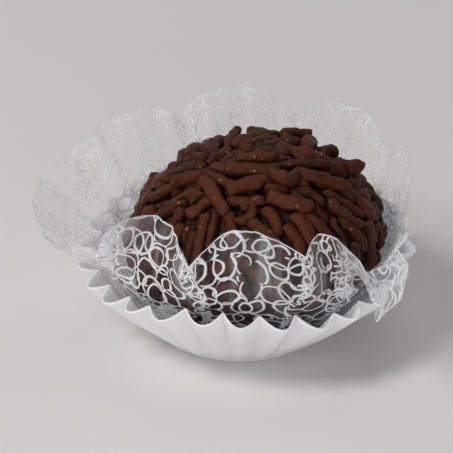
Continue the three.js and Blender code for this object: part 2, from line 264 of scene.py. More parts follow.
def cap_faces(pole: int, start: int, columns: int, flip: bool = False) -> list[tuple[int, ...]]:
    """Triangles that close a ring of corners, from start on, with the corner pole. flip turns them over."""
    fan = [(pole, start + (i + 1) % columns, start + i) for i in range(columns)]
    return [face[::-1] for face in fan] if flip else fan


# ---------------------------------------------------------------- shader nodes


@dataclass(frozen=True)
class NodeSlots:
    """Places of a node's sockets, where several of them have the same name."""

    inputs: tuple[int, ...]
    output: int


class Graph:
    """Adds nodes to one node tree and links them."""

    MATH = NodeSlots((0, 1, 2), 0)
    VECTOR_MATH = NodeSlots((0, 1, 2), 0)
    VECTOR_LENGTH = NodeSlots((0,), 1)
    NUMBER_MIX = NodeSlots((0, 2, 3), 0)
    COLOUR_MIX = NodeSlots((0, 6, 7), 2)

    def __init__(self, tree: bpy.types.NodeTree) -> None:
        """Keeps the tree that the nodes go in."""
        self.tree = tree

    def add(self, kind: str, settings: dict[str, Any] | None = None, **inputs: Any) -> Node:
        """Adds a node.

        Args:
            kind: the node's type, without the ShaderNode in front.
            settings: the node's own properties.
            **inputs: sockets by name, with _ for a blank: a socket to link or a value.

        Returns:
            The new node.
        """
        node = self.tree.nodes.new(f"ShaderNode{kind}")
        for name, value in (settings or {}).items():
            setattr(node, name, value)
        for name, value in inputs.items():
            self.feed(node.inputs[name.replace("_", " ")], value)
        return node

    def feed(self, socket: Socket, value: Any) -> None:
        """Links a socket to another one, or sets its value.

        Args:
            socket: the socket to feed.
            value: a socket or a value. A colour may have three numbers.
        """
        if isinstance(value, Socket):
            self.tree.links.new(value, socket)
            return
        if socket.type == "RGBA" and len(value) == 3:
            value = (*value, 1.0)
        socket.default_value = value

    def result(self, kind: str, settings: dict[str, Any], slots: NodeSlots, *values: Any) -> Socket:
        """Adds a node that is fed by the places of its sockets, not by their names.

        Args:
            kind: the node's type, without the ShaderNode in front.
            settings: the node's own properties.
            slots: the places of the sockets to feed and of the result.
            *values: a socket to link or a value for each.

        Returns:
            The result.
        """
        node = self.add(kind, settings)
        for index, value in zip(slots.inputs, values):
            self.feed(node.inputs[index], value)
        return node.outputs[slots.output]

    def math(self, operation: str, *values: Any) -> Socket:
        """The result of a Math node."""
        return self.result("Math", {"operation": operation}, self.MATH, *values)

    def vector(self, operation: str, *values: Any) -> Socket:
        """The result of a Vector Math node: its number for LENGTH, else its vector."""
        slots = self.VECTOR_LENGTH if operation == "LENGTH" else self.VECTOR_MATH
        return self.result("VectorMath", {"operation": operation}, slots, *values)

    def scaled(self, vector: Any, factor: Any) -> Socket:
        """A vector made longer by a factor."""
        return self.add("VectorMath", {"operation": "SCALE"}, Vector=vector, Scale=factor).outputs["Vector"]

    def step(self, value: Any, start: Any, end: Any, low: Any = 0.0, high: Any = 1.0) -> Socket:
        """A soft step of a value.

        Args:
            value: what the step follows.
            start: where it begins.
            end: where it is done. It may be less than start.
            low: the result up to start.
            high: the result from end on.

        Returns:
            The result.
        """
        reach = {"From_Min": start, "From_Max": end, "To_Min": low, "To_Max": high}
        node = self.add("MapRange", {"interpolation_type": "SMOOTHSTEP"}, Value=value, **reach)
        return node.outputs["Result"]

    def blend(self, share: Any, low: Any, high: Any) -> Socket:
        """A colour between two others."""
        return self.result("Mix", {"data_type": "RGBA"}, self.COLOUR_MIX, share, low, high)

    def between(self, share: Any, low: Any, high: Any) -> Socket:
        """A number between two others."""
        return self.result("Mix", {"data_type": "FLOAT"}, self.NUMBER_MIX, share, low, high)

    def place_mm(self) -> Socket:
        """The place on the piece, in millimetres."""
        return self.scaled(self.add("TexCoord").outputs["Object"], 1 / MM)

    def kept(self, name: str) -> Socket:
        """The number that point_value() kept for each corner."""
        return self.add("Attribute", {"attribute_name": name}).outputs["Fac"]

    def noise(self, place: Any, scale: Any, detail: float = 2.0, roughness: float = 0.5) -> Socket:
        """Noise from 0 to 1 with a number of bumps to the millimetre."""
        node = self.add("TexNoise", Vector=place, Scale=scale, Detail=detail, Roughness=roughness)
        return node.outputs["Fac"]

    def pushed(self, place: Any, scale: float, reach: float, dimensions: str = "3D") -> Socket:
        """A place moved by noise.

        Args:
            place: the place to move.
            scale: bumps of the noise to the place's unit.
            reach: twice how far it moves each way, at most.
            dimensions: of the noise.

        Returns:
            The moved place.
        """
        noise = self.add("TexNoise", {"noise_dimensions": dimensions}, Vector=place, Scale=scale, Detail=1.0)
        push = self.vector("SUBTRACT", noise.outputs["Color"], (0.5, 0.5, 0.5))
        return self.vector("ADD", place, self.scaled(push, reach))


class EffectGroup:
    """A shader node group that several materials share, built once."""

    name = ""
    inputs: tuple[tuple[str, str, Any], ...] = ()
    outputs: tuple[tuple[str, str], ...] = ()

    def tree(self) -> bpy.types.NodeTree:
        """The group's node tree, made at the first call.

        Returns:
            The tree.
        """
        made = bpy.data.node_groups.get(self.name)
        if made is not None:
            return made
        made = bpy.data.node_groups.new(self.name, "ShaderNodeTree")
        for name, kind, value in self.inputs:
            socket = made.interface.new_socket(name, in_out="INPUT", socket_type=f"NodeSocket{kind}")
            socket.default_value = value
        for name, kind in self.outputs:
            made.interface.new_socket(name, in_out="OUTPUT", socket_type=f"NodeSocket{kind}")
        graph = Graph(made)
        entry = made.nodes.new("NodeGroupInput")
        leave = made.nodes.new("NodeGroupOutput")
        for name, value in self.build(graph, entry.outputs).items():
            graph.feed(leave.inputs[name], value)
        return made

    def build(self, graph: Graph, given: Outputs) -> dict[str, Socket]:
        """Makes the nodes inside, and says what feeds each output."""
        raise NotImplementedError

    def place(self, graph: Graph, **inputs: Any) -> Node:
        """Puts the group in a material.

        Args:
            graph: the material's graph.
            **inputs: sockets by name, with _ for a blank.

        Returns:
            The group node.
        """
        node = graph.tree.nodes.new("ShaderNodeGroup")
        node.node_tree = self.tree()
        for name, value in inputs.items():
            graph.feed(node.inputs[name.replace("_", " ")], value)
        return node


class UnevenTone(EffectGroup):
    """Slow and quick changes of tone over a surface, as a value from 0 to 1."""

    name = "uneven_tone"
    inputs = (
        ("Place", "Vector", (0.0, 0.0, 0.0)),
        ("Patches", "Float", 0.1),
        ("Mottle", "Float", 1.0),
        ("Mottle Share", "Float", 0.4),
    )
    outputs = (("Tone", "Float"),)

    USUAL = (0.3, 0.7)  # range of the mixed noises, spread to 0 to 1

    def build(self, graph: Graph, given: Outputs) -> dict[str, Socket]:
        """Two noises, mixed and spread to the full range.

        Args:
            graph: the group's graph.
            given: the group's inputs.

        Returns:
            The tone.
        """
        patches = graph.noise(given["Place"], given["Patches"])
        mottle = graph.noise(given["Place"], given["Mottle"], detail=4.0, roughness=0.6)
        tone = graph.between(given["Mottle Share"], patches, mottle)
        return {"Tone": graph.step(tone, *self.USUAL)}


class FineRelief(EffectGroup):
    """A fine uneven height, from 0 to 1."""

    name = "fine_relief"
    inputs = (
        ("Place", "Vector", (0.0, 0.0, 0.0)),
        ("Lumps", "Float", 1.0),
        ("Grain", "Float", 6.0),
        ("Grain Share", "Float", 0.3),
    )
    outputs = (("Height", "Float"),)

    def build(self, graph: Graph, given: Outputs) -> dict[str, Socket]:
        """Broad lumps with a finer grain on them.

        Args:
            graph: the group's graph.
            given: the group's inputs.

        Returns:
            The height.
        """
        lumps = graph.noise(given["Place"], given["Lumps"], detail=1.0)
        grain = graph.noise(given["Place"], given["Grain"], detail=3.0, roughness=0.6)
        return {"Height": graph.between(given["Grain Share"], lumps, grain)}


class Specks(EffectGroup):
    """Small scattered specks: 1 on a speck."""

    name = "specks"
    inputs = (
        ("Place", "Vector", (0.0, 0.0, 0.0)),
        ("Spacing", "Float", 1.0),
        ("Size", "Float", 0.1),
        ("Share", "Float", 0.5),
    )
    outputs = (("Mask", "Float"),)

    RAGGED = 0.35  # of the spacing over which noise moves their outline
    RAGGED_SCALE = 5.0
    SMALLEST = 0.3  # of the full size

    def build(self, graph: Graph, given: Outputs) -> dict[str, Socket]:
        """A ragged dot round some of the points of a Voronoi pattern.

        Args:
            graph: the group's graph.
            given: the group's inputs.

        Returns:
            The mask.
        """
        in_cells = graph.scaled(given["Place"], graph.math("DIVIDE", 1.0, given["Spacing"]))
        ragged = graph.pushed(in_cells, self.RAGGED_SCALE, self.RAGGED)
        cells = graph.add("TexVoronoi", {"feature": "F1"}, Vector=ragged, Scale=1.0)
        draw = graph.add("SeparateColor", Color=cells.outputs["Color"])
        grown = graph.between(draw.outputs["Green"], self.SMALLEST, 1.0)
        reach = graph.math("MULTIPLY", graph.math("DIVIDE", given["Size"], given["Spacing"]), grown)
        dot = graph.step(cells.outputs["Distance"], reach, 0.0)
        chosen = graph.math("LESS_THAN", draw.outputs["Red"], given["Share"])
        return {"Mask": graph.math("MULTIPLY", dot, chosen)}


class LoopPrint(EffectGroup):
    """One layer of printed oval loops on a flat sheet: 1 on a line."""

    name = "loop_print"
    inputs = (
        ("Sheet", "Vector", (0.0, 0.0, 0.0)),
        ("Shift", "Vector", (0.0, 0.0, 0.0)),
        ("Spacing", "Float", 4.0),
        ("Smallest", "Float", 1.0),
        ("Largest", "Float", 1.8),
        ("Line Width", "Float", 0.3),
        ("Share", "Float", 1.0),
    )
    outputs = (("Mask", "Float"),)

    SCATTER = 0.75  # of the loops' places off a square grid
    WARP = 1.0  # millimetres over which noise bends the loops
    WARP_SCALE = 0.3
    OVAL = 0.65  # how much narrower one way than the other, at most
    LINE_EDGE = 0.55  # of the line's half width over which its ink fades
    REDRAW = 7.0  # draws that the first draw is taken apart into, to choose the loops that are kept

    def build(self, graph: Graph, given: Outputs) -> dict[str, Socket]:
        """A turned and stretched ring round each point of a flat Voronoi pattern.

        Args:
            graph: the group's graph.
            given: the group's inputs.

        Returns:
            The mask.
        """
        moved = graph.vector("ADD", given["Sheet"], given["Shift"])
        bent = graph.pushed(moved, self.WARP_SCALE, self.WARP, "2D")
        in_cells = graph.scaled(bent, graph.math("DIVIDE", 1.0, given["Spacing"]))
        pattern = {"voronoi_dimensions": "2D", "feature": "F1"}
        cells = graph.add("TexVoronoi", pattern, Vector=in_cells, Scale=1.0, Randomness=self.SCATTER)
        draw = graph.add("SeparateColor", Color=cells.outputs["Color"])
        offset = graph.scaled(graph.vector("SUBTRACT", in_cells, cells.outputs["Position"]), given["Spacing"])
        angle = graph.math("MULTIPLY", draw.outputs["Red"], math.pi)
        turned = graph.add("VectorRotate", {"rotation_type": "Z_AXIS"}, Vector=offset, Angle=angle)
        stretch = graph.math("MULTIPLY_ADD", draw.outputs["Green"], self.OVAL, 1.0)
        shape = graph.add("CombineXYZ", X=stretch, Y=1.0, Z=0.0)
        shaped = graph.vector("MULTIPLY", turned.outputs["Vector"], shape.outputs["Vector"])
        reach = graph.vector("LENGTH", shaped)
        radius = graph.between(draw.outputs["Blue"], given["Smallest"], given["Largest"])
        off_line = graph.math("ABSOLUTE", graph.math("SUBTRACT", reach, radius))
        half_width = graph.math("MULTIPLY", given["Line Width"], 0.5)
        inner = graph.math("MULTIPLY", half_width, 1 - self.LINE_EDGE)
        outer = graph.math("MULTIPLY", half_width, 1 + self.LINE_EDGE)
        line = graph.step(off_line, inner, outer, 1.0, 0.0)
        second_draw = graph.math("FRACT", graph.math("MULTIPLY", draw.outputs["Red"], self.REDRAW))
        kept = graph.math("LESS_THAN", second_draw, given["Share"])
        return {"Mask": graph.math("MULTIPLY", line, kept)}


# ---------------------------------------------------------------- finishes


@dataclass(frozen=True)
class Tones:
    """How a surface's tone changes: patches and mottle to the millimetre, and the mottle's share."""

    patches: float
    mottle: float
    mottle_share: float


@dataclass(frozen=True)
class Relief:
    """A fine relief: lumps and grain to the millimetre, the grain's share and the depth in metres."""

    lumps: float
    grain: float
    grain_share: float
    depth: float


class Finish:
    """A surface finish that makes its own material."""

    name: str = ""
    tones: Tones
    relief: Relief

    def material(self) -> bpy.types.Material:
        """Makes the material.

        Returns:
            The new material, with a Principled BSDF that dress() feeds.
        """
        made = bpy.data.materials.new(self.name)
        made.use_nodes = True
        graph = Graph(made.node_tree)
        shader = made.node_tree.nodes["Principled BSDF"]
        self.dress(graph, shader)
        return made

    def dress(self, graph: Graph, shader: Node) -> None:
        """Feeds the shader's sockets."""
        raise NotImplementedError

    def tone(self, graph: Graph) -> Socket:
        """The surface's uneven tone.

        Args:
            graph: the material's graph.

        Returns:
            A value from 0 to 1.
        """
        node = UnevenTone().place(
            graph,
            Place=graph.place_mm(),
            Patches=self.tones.patches,
            Mottle=self.tones.mottle,
            Mottle_Share=self.tones.mottle_share,
        )
        return node.outputs["Tone"]

    def emboss(self, graph: Graph, shader: Node) -> None:
        """Feeds the shader's normal from the fine relief.

        Args:
            graph: the material's graph.
            shader: the Principled BSDF.
        """
        node = FineRelief().place(
            graph,
            Place=graph.place_mm(),
            Lumps=self.relief.lumps,
            Grain=self.relief.grain,
            Grain_Share=self.relief.grain_share,
        )
        bump = graph.add("Bump", Height=node.outputs["Height"], Distance=self.relief.depth, Strength=1.0)
        graph.feed(shader.inputs["Normal"], bump.outputs["Normal"])

    @staticmethod
    def let_glow(shader: Node, share: float, reach: float) -> None:
        """Lets light pass into the surface.

        Args:
            shader: the Principled BSDF.
            share: how much of the light passes.
            reach: how far it gets, in metres.
        """
        shader.inputs["Subsurface Weight"].default_value = share
        shader.inputs["Subsurface Radius"].default_value = (1.0, 1.0, 1.0)
        shader.inputs["Subsurface Scale"].default_value = reach


@dataclass(frozen=True)
class PaperFinish(Finish):
    """White greaseproof paper with fine fibres."""

    name: str = "white_paper"
    pale: Colour = (0.93, 0.93, 0.945)
    shaded: Colour = (0.87, 0.87, 0.89)
    roughness: float = 0.72
    specular: float = 0.35
    glow: float = 0.8  # share of the light that passes into the paper
    glow_reach: float = 1.2 * MM
    tones: Tones = Tones(0.12, 1.6, 0.35)
    relief: Relief = Relief(1.4, 9.0, 0.5, 0.02 * MM)

    def dress(self, graph: Graph, shader: Node) -> None:
        """Nearly white, with faint patches and a fine tooth.

        Args:
            graph: the material's graph.
            shader: the Principled BSDF.
        """
        graph.feed(shader.inputs["Base Color"], graph.blend(self.tone(graph), self.shaded, self.pale))
        shader.inputs["Roughness"].default_value = self.roughness
        shader.inputs["Specular IOR Level"].default_value = self.specular
        self.let_glow(shader, self.glow, self.glow_reach)
        self.emboss(graph, shader)


@dataclass(frozen=True)
class LoopLayer:
    """One layer of the lace: sizes in millimetres on the flat sheet."""

    shift: tuple[float, float, float]
    spacing: float
    smallest: float
    largest: float
    share: float


@dataclass(frozen=True)
class LaceFilmFinish(Finish):
    """Clear film with a white lace of loops printed on it and along its scalloped edge."""

    name: str = "lace_film"
    ink: Colour = (0.83, 0.83, 0.845)
    clear_tint: Colour = (0.88, 0.87, 0.88)
    roughness: float = 0.24
    ink_roughness: float = 0.5
    haze: tuple[float, float] = (0.01, 0.09)
    streak: float = 0.14  # added to the haze along the gathers, which run up the sheet
    crumpled_streak: float = 0.3
    crumpled_haze: float = 0.35  # added to the haze where the film is crumpled
    streak_grain: tuple[float, float] = (0.45, 0.05)  # streaks to the millimetre, across and along the sheet
    streak_start: tuple[float, float] = (0.52, 0.68)  # noise between which a streak begins and is full
    taut_reach: tuple[float, float] = (22.0, 31.0)  # millimetres from the sheet's middle where it turns hazy
    taut_haze: float = 0.25  # share of the haze where the film lies taut under the sweet
    ink_cover: float = 0.76
    line_width: float = 0.29
    stretch: float = 1.2  # how much wider than tall the loops are on average
    hem_width: float = 0.22
    hem_edge: float = 0.3  # of the hem's width over which its ink fades
    glow: float = 0.7  # share of the light that passes into the ink
    glow_reach: float = 0.4 * MM
    tones: Tones = Tones(0.16, 0.9, 0.4)
    relief: Relief = Relief(0.5, 2.5, 0.15, 0.05 * MM)
    layers: tuple[LoopLayer, ...] = (
        LoopLayer((0.0, 0.0, 0.0), 2.7, 1.2, 1.75, 1.0),
        LoopLayer((31.7, 12.9, 0.0), 4.2, 1.2, 2.2, 1.0),
        LoopLayer((-17.3, 41.1, 0.0), 5.5, 0.7, 1.5, 0.9),
    )

    def dress(self, graph: Graph, shader: Node) -> None:
        """Ink on the lines, a thin haze between them.

        Args:
            graph: the material's graph.
            shader: the Principled BSDF.
        """
        flat = graph.scaled(graph.add("UVMap", {"uv_map": SHEET_UV}).outputs["UV"], 1 / MM)
        sheet = graph.vector("MULTIPLY", flat, (1 / self.stretch, 1.0, 0.0))
        ink, haze = self.lace(graph, sheet), self.haze_between(graph, flat, sheet)
        graph.feed(shader.inputs["Alpha"], graph.between(ink, haze, self.ink_cover))
        graph.feed(shader.inputs["Base Color"], graph.blend(ink, self.clear_tint, self.ink))
        graph.feed(shader.inputs["Roughness"], graph.between(ink, self.roughness, self.ink_roughness))
        self.let_glow(shader, self.glow, self.glow_reach)
        self.emboss(graph, shader)

    def lace(self, graph: Graph, sheet: Socket) -> Socket:
        """Where the ink is: all layers of loops and the hem along the free edge.

        Args:
            graph: the material's graph.
            sheet: the place on the flat sheet, narrowed so that round loops come out wide.

        Returns:
            A mask, 1 on a line.
        """
        fade = self.hem_width * (1 - self.hem_edge), self.hem_width * (1 + self.hem_edge)
        ink = graph.step(graph.kept(EDGE_DISTANCE), *fade, 1.0, 0.0)
        for layer in self.layers:
            loops = LoopPrint().place(
                graph,
                Sheet=sheet,
                Shift=layer.shift,
                Spacing=layer.spacing,
                Smallest=layer.smallest,
                Largest=layer.largest,
                Line_Width=self.line_width,
                Share=layer.share,
            )
            ink = graph.math("MAXIMUM", ink, loops.outputs["Mask"])
        return ink

    def haze_between(self, graph: Graph, flat: Socket, sheet: Socket) -> Socket:
        """How much the film hides between the lines: streaky, milky where crumpled and clear where taut.

        Args:
            graph: the material's graph.
            flat: the place on the flat sheet.
            sheet: the same, narrowed as the lace is.

        Returns:
            The haze.
        """
        streaks = graph.noise(graph.vector("MULTIPLY", sheet, (*self.streak_grain, 0.0)), 1.0)
        crumpled = graph.kept(CRUMPLED)
        streak = graph.between(crumpled, self.streak, self.crumpled_streak)
        gathered = graph.math("MULTIPLY", graph.step(streaks, *self.streak_start), streak)
        clear = graph.math("ADD", graph.between(self.tone(graph), *self.haze), gathered)
        haze = graph.math("MULTIPLY_ADD", crumpled, self.crumpled_haze, clear)
        from_middle = graph.add("SeparateXYZ", Vector=flat).outputs["Y"]
        return graph.math("MULTIPLY", haze, graph.step(from_middle, *self.taut_reach, self.taut_haze, 1.0))


@dataclass(frozen=True)
class FudgeFinish(Finish):
    """Dark sticky fudge that shows between the sprinkles."""

    name: str = "dark_fudge"
    deep: Colour = (0.018, 0.0066, 0.0042)
    light: Colour = (0.04, 0.0145, 0.0085)
    roughness: float = 0.65
    specular: float = 0.15
    tones: Tones = Tones(0.3, 1.4, 0.5)
    relief: Relief = Relief(0.8, 3.0, 0.4, 0.25 * MM)

    def dress(self, graph: Graph, shader: Node) -> None:
        """Dark brown with small dents.

        Args:
            graph: the material's graph.
            shader: the Principled BSDF.
        """
        graph.feed(shader.inputs["Base Color"], graph.blend(self.tone(graph), self.deep, self.light))
        shader.inputs["Roughness"].default_value = self.roughness
        shader.inputs["Specular IOR Level"].default_value = self.specular
        self.emboss(graph, shader)


@dataclass(frozen=True)
class SprinkleFinish(Finish):
    """Waxy chocolate sprinkles, each of its own mottled tone, with painted shade in the gaps and a few pale
    crystal specks, partly sugar crystals and partly painted glints.
    """

    name: str = "chocolate_sprinkle"
    deep: Colour = (0.021, 0.0054, 0.0025)
    light: Colour = (0.095, 0.0243, 0.0104)
    mottle_share: float = 0.5  # of the mottle in a sprinkle's tone, against its own draw
    # painted shade: near-black laid on sprinkle corners low down at the fudge and close to the next sprinkle,
    # where shade falls in the gaps
    gap: Colour = (0.008, 0.0024, 0.0014)
    gap_shade_reach: tuple[float, float] = (0.0, 1.05)  # millimetres out of the fudge where the painted shade ends
    crease_shade_reach: tuple[float, float] = (-0.05, 0.32)  # millimetres off the next sprinkle where the painted shade ends
    # pale specks: the colour of sugar crystals, made lighter as a painted glint
    crystal_glint: Colour = (0.3, 0.17, 0.12)
    crystal_size: float = 0.34
    crystal_spacing: float = 0.9
    crystal_share: float = 0.3
    roughness: tuple[float, float] = (0.3, 0.5)
    specular: float = 0.25
    sheen: Colour = (1.0, 0.55, 0.36)
    tones: Tones = Tones(0.25, 2.2, 0.6)
    relief: Relief = Relief(1.2, 4.5, 0.5, 0.3 * MM)

    def dress(self, graph: Graph, shader: Node) -> None:
        """Rod by rod tones, mottled, with painted shade in the gaps, pale crystal specks that are partly
        painted glints, and a soft gloss.

        Args:
            graph: the material's graph.
            shader: the Principled BSDF.
        """
        tone = self.tone(graph)
        share = graph.between(self.mottle_share, graph.kept(ROD_TONE), tone)
        # painted shade: 1 out in the light, 0 down at the fudge and against the next sprinkle
        out_of_fudge_shade = graph.step(graph.kept(STAND_OUT), *self.gap_shade_reach)
        out_of_crease_shade = graph.step(graph.kept(TO_NEXT), *self.crease_shade_reach)
        unshaded = graph.math("MULTIPLY", out_of_fudge_shade, out_of_crease_shade)
        colour = graph.blend(unshaded, self.gap, graph.blend(share, self.deep, self.light))
        # pale specks: sugar crystals with a painted glint on them
        crystal_glints = Specks().place(
            graph,
            Place=graph.place_mm(),
            Spacing=self.crystal_spacing,
            Size=self.crystal_size,
            Share=self.crystal_share,
        )
        graph.feed(shader.inputs["Base Color"], graph.blend(crystal_glints.outputs["Mask"], colour, self.crystal_glint))
        graph.feed(shader.inputs["Roughness"], graph.between(tone, *self.roughness))
        shader.inputs["Specular IOR Level"].default_value = self.specular
        shader.inputs["Specular Tint"].default_value = (*self.sheen, 1.0)
        self.emboss(graph, shader)


@dataclass(frozen=True)
class FloorFinish(Finish):
    """A plain pale studio floor."""

    name: str = "pale_floor"
    low: Colour = (0.69, 0.666, 0.65)
    high: Colour = (0.72, 0.696, 0.68)
    roughness: float = 0.6
    tones: Tones = Tones(0.01, 0.06, 0.3)

    def dress(self, graph: Graph, shader: Node) -> None:
        """Warm white, hardly varied."""
        graph.feed(shader.inputs["Base Color"], graph.blend(self.tone(graph), self.low, self.high))
        shader.inputs["Roughness"].default_value = self.roughness


# ---------------------------------------------------------------- paper case


@dataclass(frozen=True)
class Sag:
    """A stretch of the case's rim that is pressed down."""

    azimuth: float
    half_width: float
    drop: float


@dataclass(frozen=True)
class PaperCase:
    """The fluted paper case: a flat base and a pleated wall that bows outwards."""

    base_radius: float = 11.2
    rim_radius: float = 21.3
    height: float = 12.3
    bulge: float = 0.3
    rim_shift: float = 1.0
    sags: tuple[Sag, ...] = (Sag(-78, 78, 2.7), Sag(42, 48, 1.9))
    flutes: int = 26
    flute_at_base: float = 0.08
    flute_at_rim: float = 1.15
    flute_power: float = 1.5
    crease_rise: float = 0.4
    solid_thickness: float = 0.35
    paper_thickness: float = 0.2
    samples_per_flute: int = 24
    wall_steps: int = 18
    base_steps: int = 6
    innermost: float = 0.03  # radius of the base's smallest ring, as a share of the base's
    uneven_width: float = 0.9  # degrees that a crease may stand off its even place
    uneven_depth: float = 0.14
    uneven_rim: float = 0.16
    uneven_rim_power: int = 3  # more keeps it nearer the rim
    drift: Wobble = Wobble((5, 8, 13, 17), 3)
    deepening: Wobble = Wobble((4, 9, 14, 19), 8)
    rim_wave: Wobble = Wobble((7, 11, 16), 5)
    crease_angle: float = 24.0
    finish: Finish = field(default_factory=PaperFinish)

    def profile(self, azimuth: Any, t: Any) -> tuple[np.ndarray, np.ndarray]:
        """The wall as a smooth bowl without flutes.

        Args:
            azimuth: degrees.
            t: 0 at the base and 1 at the rim.

        Returns:
            Radius and height.
        """
        across = self.rim_radius - self.base_radius
        length = math.hypot(across, self.height)
        bow = self.bulge * 4 * t * (1 - t)
        shift = self.rim_shift * np.sin(np.radians(azimuth))
        radius = self.base_radius + (across + shift) * t + bow * self.height / length
        height = self.height * t - bow * across / length
        for sag in self.sags:
            near = 1 - np.abs(turn_to(sag.azimuth, azimuth)) / sag.half_width
            height = height - sag.drop * t * smooth(near)
        return radius, height

    def flute_depth(self, t: Any) -> np.ndarray:
        """Half the depth of a flute at t."""
        return mix(self.flute_at_base, self.flute_at_rim, np.clip(t, 0, 1) ** self.flute_power)

    def flute_wave(self, azimuth: Any) -> np.ndarray:
        """The flutes' wave, from -1 in the sharp creases to 1 on the round ridges."""
        return 2 * np.abs(np.cos(np.radians(self.flutes * azimuth) / 2)) - 1

    def wall(self, azimuth: np.ndarray, t: np.ndarray) -> np.ndarray:
        """The middle of the paper, as uneven as a pressed case is.

        Args:
            azimuth: degrees.
            t: 0 at the base and 1 at the rim.

        Returns:
            Points.
        """
        radius, height = self.profile(azimuth, t)
        wave = self.flute_wave(azimuth + self.uneven_width * self.drift.at(azimuth))
        depth = self.flute_depth(t) * (1 + self.uneven_depth * self.deepening.at(azimuth) * t)
        rim = self.uneven_rim * self.rim_wave.at(azimuth) * t**self.uneven_rim_power
        lifted = height - self.crease_rise * wave * t + self.solid_thickness / 2 + rim
        return around(azimuth, radius + depth * wave, lifted)

    def build(self) -> Object:
        """Makes the case as one closed sheet of paper.

        Returns:
            The piece.
        """
        count = self.flutes * self.samples_per_flute
        azimuth = np.arange(count) * 360 / count
        rows = np.linspace(0, 1, self.wall_steps + 1)
        grid = self.wall(*np.meshgrid(azimuth, rows))
        round_way = np.roll(grid, -1, axis=1) - np.roll(grid, 1, axis=1)
        up_way = np.gradient(grid, axis=0)
        normal = unit(np.cross(round_way, up_way))
        half = self.paper_thickness / 2
        outer, inner = grid + half * normal, grid - half * normal
        outer[0, :, 2] = self.solid_thickness / 2 - half
        inner[0, :, 2] = self.solid_thickness / 2 + half
        outer, inner = self.with_base(outer), self.with_base(inner)
        outer[..., 2] -= outer[0, 0, 2]
        points, faces = self.close(outer, inner)
        piece = mesh_piece("fluted_case", points, faces, self.finish.material(), self.crease_angle)
        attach(piece, ROOT)
        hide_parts("paper_case")
        return piece

    def with_base(self, wall: np.ndarray) -> np.ndarray:
        """Puts the rings of the flat base under a face of the wall.

        Args:
            wall: the wall's rings.

        Returns:
            All rings from the middle out.
        """
        shares = np.linspace(self.innermost, 1, self.base_steps, endpoint=False)
        base = wall[0] * shares[:, None, None]
        base[..., 2] = wall[0, :, 2]
        return np.concatenate([base, wall])

    @staticmethod
    def close(outer: np.ndarray, inner: np.ndarray) -> tuple[np.ndarray, list[tuple[int, ...]]]:
        """Joins two matching faces of a bowl into one closed sheet.

        Args:
            outer: rings of the face that looks out, from the middle of the base to the rim.
            inner: rings of the face that looks in.

        Returns:
            Points and faces.
        """
        rows, columns = outer.shape[:2]
        points = np.concatenate([outer.reshape(-1, 3), inner.reshape(-1, 3)])
        start = rows * columns
        faces = ring_faces(rows, columns) + ring_faces(rows, columns, True, start)
        faces.append(tuple(range(columns))[::-1])
        faces.append(tuple(range(start, start + columns)))
        top = (rows - 1) * columns
        for i in range(columns):
            j = (i + 1) % columns
            faces.append((top + i, top + j, start + top + j, start + top + i))
        return points, faces


# ---------------------------------------------------------------- sweet


@dataclass(frozen=True)
class Lump:
    """A gentle wave in the fudge."""

    height: float
    wave: tuple[float, float, float]
    phase: float


